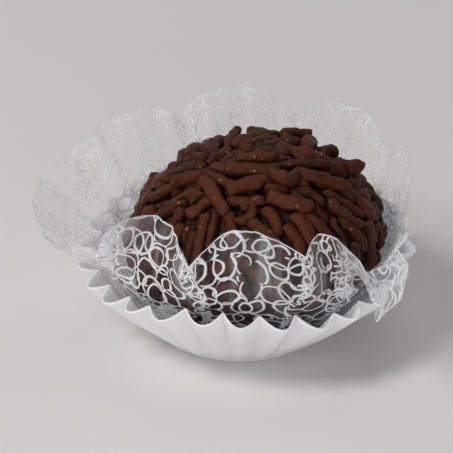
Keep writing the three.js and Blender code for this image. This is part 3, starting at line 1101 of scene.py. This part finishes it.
@dataclass(frozen=True)
class Fudge:
    """The hand-rolled ball of fudge under the sprinkles."""

    centre: tuple[float, float, float] = (2.2, 0.0, 13.0)
    radius: float = 16.1
    half_height: float = 10.7
    underside: float = 1.65  # less than the upper side's 2 makes it more of a cone than an ellipsoid
    upper_side: float = 2.0
    lean: tuple[float, float] = (-0.4, -0.1)  # how far the underside's middle moves for each millimetre down
    envelope: float = 1.4  # how far sprinkles under the film may stand out
    shoulder: tuple[float, float, float] = (-0.66, 0.26, 0.7)  # towards the middle of its flatter side
    shoulder_dent: float = 1.7
    shoulder_reach: float = 1.0  # radians from that middle to where the dent ends
    lumps: tuple[Lump, ...] = (Lump(0.15, (3.1, 2.7, 0), 1.3), Lump(0.15, (-1.4, 4.3, 2.2), 0))
    rings: int = 64
    columns: int = 96
    finish: Finish = field(default_factory=FudgeFinish)

    def share(self, offset: np.ndarray, layer: float) -> np.ndarray:
        """How far out offsets from the centre lie.

        Args:
            offset: offsets in millimetres.
            layer: thickness of a layer on the fudge.

        Returns:
            1 on the plain fudge with that layer, less inside.
        """
        power = np.where(offset[..., 2] < 0, self.underside, self.upper_side)
        across = np.hypot(*self.off_middle(offset)) / (self.radius + layer)
        high = np.abs(offset[..., 2]) / (self.half_height + layer)
        return (across**power + high**power) ** (1 / power)

    def off_middle(self, offset: np.ndarray) -> tuple[np.ndarray, np.ndarray]:
        """How far offsets lie off the sweet's middle line, to the right and back."""
        low = np.minimum(0, offset[..., 2])
        return offset[..., 0] + self.lean[0] * low, offset[..., 1] + self.lean[1] * low

    def surface(self, direction: np.ndarray) -> np.ndarray:
        """Places on the fudge's surface.

        Args:
            direction: unit directions from its centre.

        Returns:
            Points.
        """
        reach = 1 / self.share(direction, 0)
        toward = np.clip(direction @ unit(np.array(self.shoulder)), -1, 1)
        reach = reach - self.shoulder_dent * smooth(1 - np.arccos(toward) / self.shoulder_reach)
        for lump in self.lumps:
            reach = reach + lump.height * np.sin(direction @ np.array(lump.wave) + lump.phase)
        return direction * reach[..., None] + np.array(self.centre)

    def normal(self, direction: np.ndarray) -> np.ndarray:
        """Which way the fudge's surface looks.

        Args:
            direction: unit directions from its centre that aren't straight up or down.

        Returns:
            Outward normals.
        """
        (x, y), z = self.off_middle(direction), direction[..., 2]
        power = np.where(z < 0, self.underside, self.upper_side) - 1
        across = np.hypot(x, y)
        level = (across / self.radius) ** power / self.radius / across
        upright = np.sign(z) * (np.abs(z) / self.half_height) ** power / self.half_height
        upright = upright + (z < 0) * level * (x * self.lean[0] + y * self.lean[1])
        return unit(np.stack([x * level, y * level, upright], axis=-1))

    def stand_out(self, points: np.ndarray) -> np.ndarray:
        """How far points lie outside the fudge's surface, straight out from its centre.

        Args:
            points: places in millimetres.

        Returns:
            Millimetres for each.
        """
        centre = np.array(self.centre)
        offset = points - centre
        return np.linalg.norm(offset, axis=-1) - np.linalg.norm(self.surface(unit(offset)) - centre, axis=-1)

    def build(self) -> Object:
        """Makes the fudge as a closed ball of its true form.

        Returns:
            The piece.
        """
        polar = np.linspace(0, 180, self.rings + 2)[1:-1][::-1]
        turn = np.arange(self.columns) * 360 / self.columns
        turns, polars = np.meshgrid(turn, polar)
        flat = around(turns, np.sin(np.radians(polars)), np.cos(np.radians(polars)))
        poles = np.array([[0.0, 0.0, -1.0], [0.0, 0.0, 1.0]])
        points = self.surface(np.concatenate([flat.reshape(-1, 3), poles]))
        faces = ring_faces(self.rings, self.columns)
        faces += cap_faces(len(points) - 2, 0, self.columns)
        faces += cap_faces(len(points) - 1, (self.rings - 1) * self.columns, self.columns, True)
        piece = mesh_piece("fudge_core", points, faces, self.finish.material())
        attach(piece, ROOT)
        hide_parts("sweet")
        return piece


@dataclass(frozen=True)
class Rod:
    """One sprinkle, as it lies on the fudge."""

    middle: np.ndarray
    along: np.ndarray
    normal: np.ndarray
    half_length: float
    bend: float

    def axis(self, shares: np.ndarray) -> np.ndarray:
        """Points of its axis, from -1 at one end to 1 at the other."""
        reach = (shares * self.half_length)[:, None]
        return self.middle + self.along * reach - self.normal * self.bend * reach * reach


@dataclass(frozen=True)
class Laying:
    """One round of laying sprinkles: how many places are tried, and how tightly they may lie."""

    places: int
    place_step: int  # has no factor in common with places, so that each place is visited once
    longest: float
    shortest: float
    first_lift: float
    max_lift: float
    lift_step: float
    touching: float  # share of two radii that crossing sprinkles keep between their axes
    attempts: int
    checked: int  # points of an axis that are compared
    tilt: float  # degrees that a sprinkle may stand off the fudge's surface


@dataclass(frozen=True)
class SprinkleCoat:
    """The coat of chocolate sprinkles: rounded rods pressed on to the fudge in all directions."""

    fudge: Fudge
    radius: float = 0.92
    crown: float = 32.0  # degrees from the top within which the sprinkles run from side to side
    crown_blend: float = 20.0  # degrees over which they turn to run down the sides
    nudge: float = 0.1  # of SKEW in that direction, so that it never lies straight along a normal
    spread: float = 58.0  # degrees that a sprinkle may lie off that direction
    bend: tuple[float, float] = (0.4, 1.3)
    sunk: float = 0.3  # how far the axis lies above the fudge
    lowest: float = 7.0  # height that no axis goes below
    film_top: float = 22.0  # height that the film over the sprinkles stays below
    reach_down: float = 1.66  # how far down places go: 2 would be the very bottom
    near_reach: float = 4.0  # radii beyond a sprinkle's ends within which others count
    seed: int = 5
    rounds: tuple[Laying, ...] = (
        Laying(620, 229, 8.8, 5.0, 0.0, 1.1, 0.1, 0.68, 24, 5, 5),
        Laying(1100, 347, 6.6, 3.4, -0.45, 1.0, 0.15, 0.55, 8, 9, 14),
        Laying(60, 23, 6.0, 4.4, 0.9, 1.9, 0.15, 0.6, 8, 9, 24),
    )
    tip: tuple[float, float] = (0.5, 1.1)  # bluntest and longest rounded end, in radii
    sides: int = 16
    rings: int = 15
    tip_rings: int = 3
    axis_points: int = 25
    sideways_bend: float = 0.4
    uneven_radius: float = 0.15
    uneven_side: float = 0.09
    waist: float = 0.09
    waist_waves: tuple[float, float] = (3.1, 1.7)  # radians to half a sprinkle
    dent: float = 0.09  # of the radius that small lumps and dents reach
    dents: LumpField = LumpField(24, 0.9, 2.4, 7)
    crease_angle: float = 180.0  # smooth all over
    finish: Finish = field(default_factory=SprinkleFinish)

    def lay(self) -> list[Rod]:
        """Lays the sprinkles one by one, the longest first, spread by the golden angle.

        Each lies at the angle at which it sinks lowest among those already there, and one that would cut deep
        into them at every angle is left out.

        Returns:
            The sprinkles that found a place.
        """
        draw = number_stream(self.seed)
        rods: list[Rod] = []
        for laying in self.rounds:
            shares = np.linspace(-1, 1, laying.checked)
            taken = [rod.axis(shares) for rod in rods]
            for i in range(laying.places):
                rod = self.settle(laying, i, draw, taken, shares)
                if rod is not None:
                    rods.append(rod)
                    taken.append(rod.axis(shares))
        return rods

    def settle(
        self, laying: Laying, number: int, draw: Iterator[float], taken: list[np.ndarray], shares: np.ndarray
    ) -> Rod | None:
        """Finds how one sprinkle lies lowest at its place.

        Args:
            laying: the round's rules.
            number: which place of the round.
            draw: the stream of random numbers.
            taken: axes of the sprinkles already laid.
            shares: points of an axis that are compared.

        Returns:
            The sprinkle, or None where there is no room.
        """
        place = (number * laying.place_step) % laying.places
        height = 1 - self.reach_down * (place + 0.5) / laying.places
        direction = around(place * 360 / GOLDEN_RATIO, math.sqrt(1 - height * height), height)
        half_length = mix(laying.longest, laying.shortest, number / laying.places) / 2 - self.radius
        bend = mix(*self.bend, next(draw)) / (2 * self.fudge.radius)
        normal = self.fudge.normal(direction)
        onward = self.flow(direction, normal)
        surface = self.fudge.surface(direction)
        best, lowest = None, laying.max_lift
        near = self.near(taken, surface, half_length)
        for _ in range(laying.attempts):
            angle = math.radians(self.spread) * (next(draw) + next(draw) - 1)
            flat = onward * math.cos(angle) + np.cross(normal, onward) * math.sin(angle)
            rise = math.radians(laying.tilt) * (2 * next(draw) - 1)
            along = flat * math.cos(rise) + normal * math.sin(rise)
            lift = laying.first_lift
            while lift < lowest:
                rod = Rod(surface + normal * (self.sunk + lift), along, normal, half_length, bend)
                if self.lies_well(rod.axis(shares), near, laying):
                    best, lowest = rod, lift
                lift += laying.lift_step
        return best

    def flow(self, direction: np.ndarray, normal: np.ndarray) -> np.ndarray:
        """Which way most sprinkles run at a place: across the crown and down the sides.

        Args:
            direction: the place's unit direction from the fudge's centre.
            normal: the fudge's normal there.

        Returns:
            A unit direction along the surface.
        """
        polar = math.degrees(math.acos(direction[2]))
        down = float(smooth((polar - self.crown) / self.crown_blend))
        wanted = np.array([1 - down, 0.0, -down]) + self.nudge * SKEW
        return unit(wanted - normal * (wanted @ normal))

    def near(self, taken: list[np.ndarray], place: np.ndarray, half_length: float) -> np.ndarray:
        """Picks what a sprinkle laid at a place could reach.

        Args:
            taken: axes of other sprinkles.
            place: where its middle lies.
            half_length: half the length of its axis.

        Returns:
            Those axes' points.
        """
        if not taken:
            return np.empty((0, 3))
        points = np.concatenate(taken)
        reach = half_length + self.near_reach * self.radius
        return points[np.linalg.norm(points - place, axis=1) < reach]

    def lies_well(self, axis: np.ndarray, near: np.ndarray, laying: Laying) -> bool:
        """Tests whether a sprinkle keeps clear of the film, the hidden underside and the others.

        Args:
            axis: points of its axis.
            near: points of the axes near it.
            laying: the round's rules.

        Returns:
            Whether it does.
        """
        if axis[:, 2].min() < self.lowest:
            return False
        under_film = axis[axis[:, 2] < self.film_top]
        if len(under_film) and self.outermost(under_film).max() > 1:
            return False
        if not len(near):
            return True
        apart = np.linalg.norm(axis[:, None] - near[None], axis=2).min()
        return bool(apart > laying.touching * 2 * self.radius)

    def outermost(self, points: np.ndarray) -> np.ndarray:
        """How far out a sprinkle's outer side stands.

        Args:
            points: points of its axis.

        Returns:
            Above 1 where it is further than sprinkles under the film may stand.
        """
        offset = points - np.array(self.fudge.centre)
        outside = offset + unit(offset) * self.radius
        return self.fudge.share(outside, self.fudge.envelope)

    def rod_points(self, rod: Rod, draw: Iterator[float]) -> np.ndarray:
        """The corners of one sprinkle: a tip, its rings and the other tip.

        Args:
            rod: how it lies.
            draw: the stream of random numbers.

        Returns:
            Points.
        """
        tip = mix(*self.tip, next(draw)) * self.radius / rod.half_length
        turns = np.linspace(0, math.pi / 2, self.tip_rings + 1)[1:]
        cap_shares, cap_widths = 1 + tip * np.cos(turns), np.sin(turns)
        body = np.linspace(-1, 1, self.rings + 2)[1:-1]
        shares = np.concatenate([-cap_shares, body, cap_shares[::-1]])
        widths = np.concatenate([cap_widths, np.ones(self.rings), cap_widths[::-1]])
        phase, twist, sway = (next(draw) * 2 * math.pi for _ in range(3))
        own = 1 + self.uneven_radius * (2 * next(draw) - 1)
        waves = self.waist_waves[0] * shares + phase, self.waist_waves[1] * shares + twist
        waist = self.waist * np.sin(waves[0]) * np.cos(waves[1])
        widths = widths * own * (1 + waist)
        across = np.cross(rod.along, rod.normal)
        side_bend = self.sideways_bend * math.sin(sway) * (1 - shares**2)
        axis = rod.axis(shares) + across * side_bend[:, None]
        spokes = np.arange(self.sides) * 2 * math.pi / self.sides + twist
        squeeze = 1 + self.uneven_side * (np.cos(2 * spokes + phase) + np.cos(3 * spokes + sway) / 2)
        ring = (np.cos(spokes) * squeeze)[:, None] * across + (np.sin(spokes) * squeeze)[:, None] * rod.normal
        off_axis = ring[None] * (widths * self.radius)[:, None, None]
        dented = 1 + self.dent * self.dents.at(axis[:, None] + off_axis)[..., None]
        body_points = axis[:, None] + off_axis * dented
        ends = rod.axis(np.array([-1 - tip, 1 + tip]))
        return np.concatenate([ends[:1], body_points.reshape(-1, 3), ends[1:]])

    def to_next(self, rods: list[Rod], points: list[np.ndarray]) -> np.ndarray:
        """How far the sprinkles' corners lie from the next sprinkle's surface.

        Args:
            rods: all sprinkles.
            points: the corners of each.

        Returns:
            Millimetres for each corner, below 0 inside the next one.
        """
        axes = [rod.axis(np.linspace(-1, 1, self.axis_points)) for rod in rods]
        gaps = []
        for number, (rod, corners) in enumerate(zip(rods, points)):
            near = self.near(axes[:number] + axes[number + 1 :], rod.middle, rod.half_length)
            apart = np.linalg.norm(corners[:, None] - near[None], axis=2)
            gaps.append(apart.min(axis=1, initial=self.near_reach * self.radius) - self.radius)
        return np.concatenate(gaps)

    def build(self) -> Object:
        """Makes all sprinkles as one piece.

        Returns:
            The piece.
        """
        rods = self.lay()
        draw = number_stream(self.seed + 1)
        rings = self.rings + 2 * self.tip_rings
        size = rings * self.sides + 2
        points, tones, faces = [], [], []
        for number, rod in enumerate(rods):
            start = number * size
            points.append(self.rod_points(rod, draw))
            tones.append(np.full(size, next(draw)))
            faces += cap_faces(start, start + 1, self.sides, True)
            faces += ring_faces(rings, self.sides, True, start + 1)
            faces += cap_faces(start + size - 1, start + 1 + (rings - 1) * self.sides, self.sides)
        corners = np.concatenate(points)
        piece = mesh_piece("sprinkles", corners, faces, self.finish.material(), self.crease_angle)
        point_value(piece, ROD_TONE, np.concatenate(tones))
        # these distances drive the finish's painted shade in the gaps between sprinkles
        point_value(piece, STAND_OUT, self.fudge.stand_out(corners))
        point_value(piece, TO_NEXT, self.to_next(rods, points))
        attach(piece, ROOT)
        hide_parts("sweet")
        LOG.info("%d sprinkles", len(rods))
        return piece


# ---------------------------------------------------------------- film liner


@dataclass(frozen=True)
class Petal:
    """A scallop of the film, from the pleat at its start to the next petal's.

    valley is how much shorter the film is at the pleat, peak how far across the tip lies, lean the slope at
    the tip, longer what is added to the film's free length and swing how far the tip turns sideways. slant
    is how many degrees the pleat at its start runs to the right on its way down, and pleat its width at the
    edge.
    """

    start: float
    valley: float
    peak: float
    lean: float
    longer: float
    swing: float
    slant: float
    pleat: float
    hangs_outside: bool = False


@dataclass(frozen=True)
class FilmLiner:
    """The clear liner: a thin sheet pressed into the case, with petals that stand out of it."""

    case: PaperCase
    fudge: Fudge
    thickness: float = 0.3
    gap: float = 0.3
    wall_inset: float = 0.95
    clear: float = 0.68
    rim_rise: float = 0.35
    free_length: float = 9.6
    scallop_power: float = 2.4
    bend_length: float = 3.0
    ripple: float = 0.2
    ripples: int = 24
    fold_depth: float = 0.9
    fold_width: float = 7.0
    folds_from: float = 0.8
    folds_grow_over: float = 4.6
    petal_blend: float = 9.0
    rise_length: float = 3.8  # of the petal that hangs outside, before it turns over
    rise_lean: float = 86.0
    turn_length: float = 4.2
    petals: tuple[Petal, ...] = (
        Petal(-61, 5.5, 0.22, 124, 2.0, 0, 3, 3.2),
        Petal(-22, 5.2, 0.5, 124, 1.6, 0, 8, 3.6),
        Petal(28, 2.4, 0.5, 116, 1.3, 0, -9, 2.2),
        Petal(46, 2.4, 0.3, -72, 3.1, -11, -6, 4.4, True),
        Petal(66, 5, 0.5, 80, 0.5, 0, 4, 4.4),
        Petal(122, 4, 0.45, 71, 0.8, 0, -6, 2.9),
        Petal(161, 4, 0.55, 60, 1, 0, 5, 2.5),
        Petal(199, 3.6, 0.5, 47, 0.8, 0, -4, 3.0),
        Petal(241, 2, 0.4, 37, 2, 0, 5, 2.7),
    )
    pleat_at_base: float = 0.1
    pleat_at_rim: float = 0.6  # of its width at the free edge
    pleat_layer: float = 0.16  # between the layers
    pleat_columns: int = 5
    petal_columns: int = 26
    case_rows: int = 9
    free_rows: int = 30
    slope_parts: int = 120
    innermost: float = 0.05  # radius of the base's smallest ring, as a share of the base's
    rim_pair: tuple[float, float] = (1.0, 0.98)  # the rim and a place just below it, which give its slope
    slant_haste: float = 1.4  # how much sooner than at the free edge a pleat has run to its place
    patch_apart: float = 61.0  # between the petals' places on the flat sheet
    wrinkle: float = 0.12
    wrinkles: Wobble = Wobble((37, 52, 71), 4)
    crumpled_azimuth: float = -88.0  # where the film was gathered most
    crumpled_half_width: float = 46.0
    crease_angle: float = 50.0
    finish: Finish = field(default_factory=LaceFilmFinish)

    @property
    def floor(self) -> float:
        """Height of the film's middle under the sweet."""
        return self.case.solid_thickness + self.gap + self.thickness / 2

    def petals_at(self, azimuth: float) -> tuple[Petal, Petal, float, float, float]:
        """The petals that shape the film at an azimuth.

        Args:
            azimuth: degrees.

        Returns:
            Its own petal, the nearer neighbour, the neighbour's share, the degrees to their pleat, and how
            much shorter the film is than at the petal's tip.
        """
        first = self.petals[0].start
        turn = (azimuth - first) % 360
        index = max(i for i, petal in enumerate(self.petals) if turn >= (petal.start - first) % 360)
        own = self.petals[index]
        after = self.petals[(index + 1) % len(self.petals)]
        width = (after.start - own.start) % 360
        into = (azimuth - own.start) % 360
        rising = into < own.peak * width
        to_tip = 1 - into / (own.peak * width) if rising else (into / width - own.peak) / (1 - own.peak)
        to_pleat = min(into, width - into)
        other = self.petals[index - 1] if into < width / 2 else after
        share = 0.5 * float(smooth(1 - to_pleat / min(self.petal_blend, width / 2)))
        shorter = (own if rising else after).valley * to_tip**self.scallop_power
        return own, other, share, to_pleat, shorter

    def slope(self, petal: Petal, beyond: np.ndarray, rim_slope: float) -> np.ndarray:
        """How steeply a petal rises.

        Args:
            petal: the petal.
            beyond: distances beyond the rim, along the film.
            rim_slope: the film's slope at the rim.

        Returns:
            Degrees at each distance.
        """
        if not petal.hangs_outside:
            return mix(rim_slope, petal.lean, smooth(beyond / self.bend_length))
        rising = mix(rim_slope, self.rise_lean, smooth(beyond / self.rise_length))
        return mix(rising, petal.lean, smooth((beyond - self.rise_length) / self.turn_length))

    def in_case(self, azimuth: Any, t: Any) -> tuple[np.ndarray, np.ndarray]:
        """Where the film lies inside the case.

        Args:
            azimuth: degrees.
            t: 0 at the base and 1 at the rim.

        Returns:
            Radius and height.
        """
        radius, height = self.case.profile(azimuth, t)
        inset = self.case.flute_depth(t) + self.wall_inset
        return radius - inset, height + mix(self.floor, self.rim_rise, t)

    def free_part(self, azimuth: float, steps: np.ndarray) -> np.ndarray:
        """The film beyond the rim at one azimuth.

        Args:
            azimuth: degrees.
            steps: from 0 at the rim to 1 at the free edge.

        Returns:
            Points.
        """
        own, other, share, to_pleat, shorter = self.petals_at(azimuth)
        length = self.free_length + mix(own.longer, other.longer, share) - shorter
        radius_pair, height_pair = self.in_case(azimuth, np.array(self.rim_pair))
        rim_radius, rim_height = radius_pair[0], height_pair[0]
        rim_slope = math.degrees(math.atan2(rim_height - height_pair[1], rim_radius - radius_pair[1]))
        reached = (np.arange(self.slope_parts) + 0.5) * length / self.slope_parts
        own_slope, other_slope = (self.slope(petal, reached, rim_slope) for petal in (own, other))
        slope = np.radians(mix(own_slope, other_slope, share))
        stride = length / self.slope_parts
        radii = rim_radius + stride * np.concatenate([[0], np.cumsum(np.cos(slope))])
        heights = rim_height + stride * np.concatenate([[0], np.cumsum(np.sin(slope))])
        ends = np.linspace(0, 1, self.slope_parts + 1)
        radius, height = np.interp(steps, ends, radii), np.interp(steps, ends, heights)
        grown = smooth((steps * length - self.folds_from) / self.folds_grow_over)
        pleat = self.fold_depth * math.exp(-((to_pleat / self.fold_width) ** 2))
        gathers = self.ripple * (1 + math.cos(math.radians(self.ripples * azimuth)))
        wrinkle = self.wrinkle * float(self.wrinkles.at(azimuth))
        turned = azimuth + grown * mix(own.swing, other.swing, share)
        points = self.clear_of_sweet(around(turned, radius, height))
        return points + around(turned, (pleat + gathers + wrinkle) * grown, 0)

    def clear_of_sweet(self, points: np.ndarray) -> np.ndarray:
        """Moves points of the film straight out from the sweet's centre where they lie in the sweet.

        Args:
            points: the film's points.

        Returns:
            The points, moved where they have to be.
        """
        centre = np.array(self.fudge.centre)
        offset = points - centre
        share = self.fudge.share(offset, self.fudge.envelope + self.clear)
        return centre + offset * np.maximum(1, 1 / share)[..., None]

    def column(self, azimuth: float, slant: float, pleat: float, fold: float, layer: float) -> np.ndarray:
        """One line of the film from the middle of its base to its free edge.

        Args:
            azimuth: where it meets the free edge.
            slant: degrees that it runs to the right on its way down.
            pleat: width of its pleat at the free edge.
            fold: its place in a pleat, from -1 to 1 across it.
            layer: millimetres that it lies outside the film's middle.

        Returns:
            Points.
        """
        t = np.linspace(0, 1, self.case_rows + 1)
        radius, height = self.in_case(azimuth + slant, t)
        width = mix(self.pleat_at_base, pleat * self.pleat_at_rim, t)
        aside = np.degrees(fold * width / 2 / radius)
        inside = self.clear_of_sweet(around(azimuth + slant + aside, radius + layer * smooth(2 * t), height))
        steps = np.linspace(0, 1, self.free_rows + 1)[1:]
        free = []
        for step in steps:
            left = slant * (1 - float(smooth(step * self.slant_haste)))
            wide = pleat * mix(self.pleat_at_rim, 1.0, step)
            aside = math.degrees(fold * wide / 2 / self.case.rim_radius)
            point = self.free_part(azimuth + left + aside, np.array([step]))
            outward = unit(point[0] * np.array([1.0, 1.0, 0.0]))
            free.append(point[0] + outward * layer)
        middle = np.array([[0.0, 0.0, self.floor]])
        return np.concatenate([middle + (inside[:1] - middle) * self.innermost, inside, np.array(free)])

    def columns(self) -> tuple[list[np.ndarray], list[int]]:
        """All lines of the film, round once, with three layers in each pleat.

        Returns:
            The lines, and the number of the petal that each belongs to on the flat sheet.
        """
        lines, owners = [], []
        across = np.linspace(-1, 1, self.pleat_columns)
        for number, petal in enumerate(self.petals):
            following = (number + 1) % len(self.petals)
            after = self.petals[following]
            width = (after.start - petal.start) % 360
            first, last = (petal.start, petal.slant, petal.pleat), (after.start, after.slant, after.pleat)
            spots = [(*first, place, -self.pleat_layer, number) for place in across[:-1]]
            for share in np.linspace(0, 1, self.petal_columns):
                slant, pleat = mix(petal.slant, after.slant, share), mix(petal.pleat, after.pleat, share)
                layer = self.pleat_layer * (2 * share - 1)
                spots.append((petal.start + share * width, slant, pleat, 1 - 2 * share, layer, number))
            spots += [(*last, place, self.pleat_layer, number) for place in across[1:]]
            spots += [(*last, place, 0.0, number if place > 0 else following) for place in across[::-1][1:-1]]
            lines += [self.column(*spot[:-1]) for spot in spots]
            owners += [spot[-1] for spot in spots]
        return lines, owners

    def flat_sheet(self, grid: np.ndarray, owners: list[int]) -> np.ndarray:
        """Where each corner lies on the flat sheet, petal by petal.

        Args:
            grid: the film's corners, line by line.
            owners: the petal of each line.

        Returns:
            Two numbers for each corner, in millimetres.
        """
        rises = np.linalg.norm(np.diff(grid, axis=1), axis=2)
        up = np.concatenate([np.zeros((len(grid), 1)), rises.cumsum(axis=1)], axis=1)
        sheet = np.zeros((*grid.shape[:2], 2))
        owner = np.array(owners)
        order = np.arange(len(grid))
        for number in range(len(self.petals)):
            mine = order[owner == number]
            if mine[0] == 0 and mine[-1] == len(grid) - 1:
                gap = int(np.argmax(np.diff(mine))) + 1
                mine = np.concatenate([mine[gap:], mine[:gap]])
            span = np.linalg.norm(np.diff(grid[mine], axis=0), axis=2)
            along = np.concatenate([np.zeros((1, grid.shape[1])), span.cumsum(axis=0)])
            sheet[mine, :, 0] = along - along[len(mine) // 2] + number * self.patch_apart
            sheet[mine, :, 1] = up[mine]
        return sheet

    def build(self) -> Object:
        """Makes the film as one sheet with its pleats folded.

        Returns:
            The piece.
        """
        lines, owners = self.columns()
        grid = np.stack(lines)
        sheet = self.flat_sheet(grid, owners)
        columns, rows = grid.shape[:2]
        to_edge = sheet[:, -1:, 1] - sheet[:, :, 1]
        faces, corners = [], []
        for i in range(columns):
            j = (i + 1) % columns
            jump = owners[i] != owners[j]
            for k in range(rows - 1):
                faces.append((i * rows + k, j * rows + k, j * rows + k + 1, i * rows + k + 1))
                low, high = sheet[i, k], sheet[i, k + 1]
                far_low = low + self.step_over(grid, i, j, k) if jump else sheet[j, k]
                far_high = high + self.step_over(grid, i, j, k + 1) if jump else sheet[j, k + 1]
                corners += [low, far_low, far_high, high]
        faces.append(tuple(i * rows for i in range(columns))[::-1])
        corners += [sheet[i, 0] for i in range(columns)][::-1]
        points = grid.reshape(-1, 3)
        piece = mesh_piece("film_liner", points, faces, self.finish.material(), self.crease_angle)
        layer = piece.data.uv_layers.new(name=SHEET_UV)
        layer.data.foreach_set("uv", (np.array(corners, dtype=np.float32) * MM).ravel())
        point_value(piece, EDGE_DISTANCE, to_edge.ravel())
        azimuth = np.degrees(np.arctan2(grid[..., 0], -grid[..., 1]))
        near = 1 - np.abs(turn_to(self.crumpled_azimuth, azimuth)) / self.crumpled_half_width
        point_value(piece, CRUMPLED, smooth(near).ravel())
        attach(piece, ROOT)
        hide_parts("lace_film")
        return piece

    @staticmethod
    def step_over(grid: np.ndarray, i: int, j: int, row: int) -> np.ndarray:
        """The step on the flat sheet from one line to the next, where the next has another patch."""
        return np.array([np.linalg.norm(grid[j, row] - grid[i, row]), 0.0])


# ---------------------------------------------------------------- studio


def set_up(thing: Object, target: Vector, azimuth: float, elevation: float, distance: float) -> None:
    """Links a lamp or camera to the scene, away from what it looks at and turned to it.

    Args:
        thing: the lamp or camera.
        target: what it looks at, in metres.
        azimuth: degrees round the target.
        elevation: degrees over it.
        distance: metres from it.
    """
    bpy.context.scene.collection.objects.link(thing)
    level = distance * math.cos(math.radians(elevation))
    height = distance * math.sin(math.radians(elevation))
    thing.location = target + Vector(around(azimuth, level, height))
    thing.rotation_euler = (target - thing.location).to_track_quat("-Z", "Y").to_euler()


@dataclass(frozen=True)
class SoftLight:
    """A large soft lamp that looks at the sweet. Lengths in metres."""

    name: str
    azimuth: float
    elevation: float
    distance: float
    size: float
    power: float
    colour: Colour

    def build(self, target: Vector) -> Object:
        """Hangs the lamp.

        Args:
            target: what it looks at.

        Returns:
            The lamp.
        """
        data = bpy.data.lights.new(self.name, "AREA")
        data.shape = "DISK"
        data.size = self.size
        data.energy = self.power
        data.color = self.colour
        lamp = bpy.data.objects.new(self.name, data)
        set_up(lamp, target, self.azimuth, self.elevation, self.distance)
        return lamp


@dataclass(frozen=True)
class Studio:
    """A pale floor, soft lamps and an even pale surround."""

    floor_size: float = 4.0  # metres
    surround: Colour = (0.93, 0.95, 1.0)
    surround_strength: float = 0.3
    lights: tuple[SoftLight, ...] = (
        SoftLight("key_light", -60, 50, 0.6, 0.2, 2.0, (1.0, 0.985, 0.97)),
        SoftLight("front_fill", -5, 3, 0.8, 0.5, 2.8, (0.98, 0.985, 1.0)),
        SoftLight("back_light", 165, 55, 0.7, 0.4, 0.6, (1.0, 0.99, 0.98)),
    )
    finish: Finish = field(default_factory=FloorFinish)

    def build(self) -> None:
        """Lays the floor, hangs the lamps and sets the surround."""
        low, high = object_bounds()
        half = self.floor_size / 2 / MM
        level = low.z / MM
        corners = np.array([(x * half, y * half, level) for x, y in ((-1, -1), (1, -1), (1, 1), (-1, 1))])
        floor = mesh_piece("studio_floor", corners, [(0, 1, 2, 3)], self.finish.material())
        floor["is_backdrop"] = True
        for light in self.lights:
            light.build((low + high) / 2)
        world = bpy.data.worlds.new("pale_surround")
        world.use_nodes = True
        background = world.node_tree.nodes["Background"]
        background.inputs["Color"].default_value = (*self.surround, 1.0)
        background.inputs["Strength"].default_value = self.surround_strength
        bpy.context.scene.world = world


@dataclass(frozen=True)
class ViewCamera:
    """A long lens that looks down on the sweet from the front. Lengths in metres."""

    azimuth: float = 0.0
    elevation: float = 30.0
    distance: float = 0.605
    view_width: float = 0.06
    sensor: float = 0.036
    nearest: float = 0.01
    aim: tuple[float, float, float] = (-0.00175, 0.0, 0.0141)

    def build(self) -> Object:
        """Sets the camera up.

        Returns:
            The camera.
        """
        data = bpy.data.cameras.new("view_camera")
        data.sensor_width = self.sensor / MM
        data.lens = self.sensor / MM * self.distance / self.view_width
        data.clip_start = self.nearest
        camera = bpy.data.objects.new("view_camera", data)
        set_up(camera, Vector(self.aim), self.azimuth, self.elevation, self.distance)
        bpy.context.scene.camera = camera
        return camera


# ---------------------------------------------------------------- scene


def main() -> None:
    """Builds each piece in order, then the studio and the camera."""
    logging.basicConfig(level=logging.INFO, stream=sys.stdout, format="%(name)s: %(message)s")
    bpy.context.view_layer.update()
    ViewCamera().build()
    Studio().build()
    case, fudge = PaperCase(), Fudge()
    builders: tuple[Callable[[], Object], ...] = (
        case.build,
        fudge.build,
        SprinkleCoat(fudge).build,
        FilmLiner(case, fudge).build,
    )
    for build in builders:
        piece = build()
        LOG.info("%s: %d corners, %d faces", piece.name, len(piece.data.vertices), len(piece.data.polygons))
    bpy.context.scene.view_settings.view_transform = "Standard"


if __name__ == "__main__":
    main()
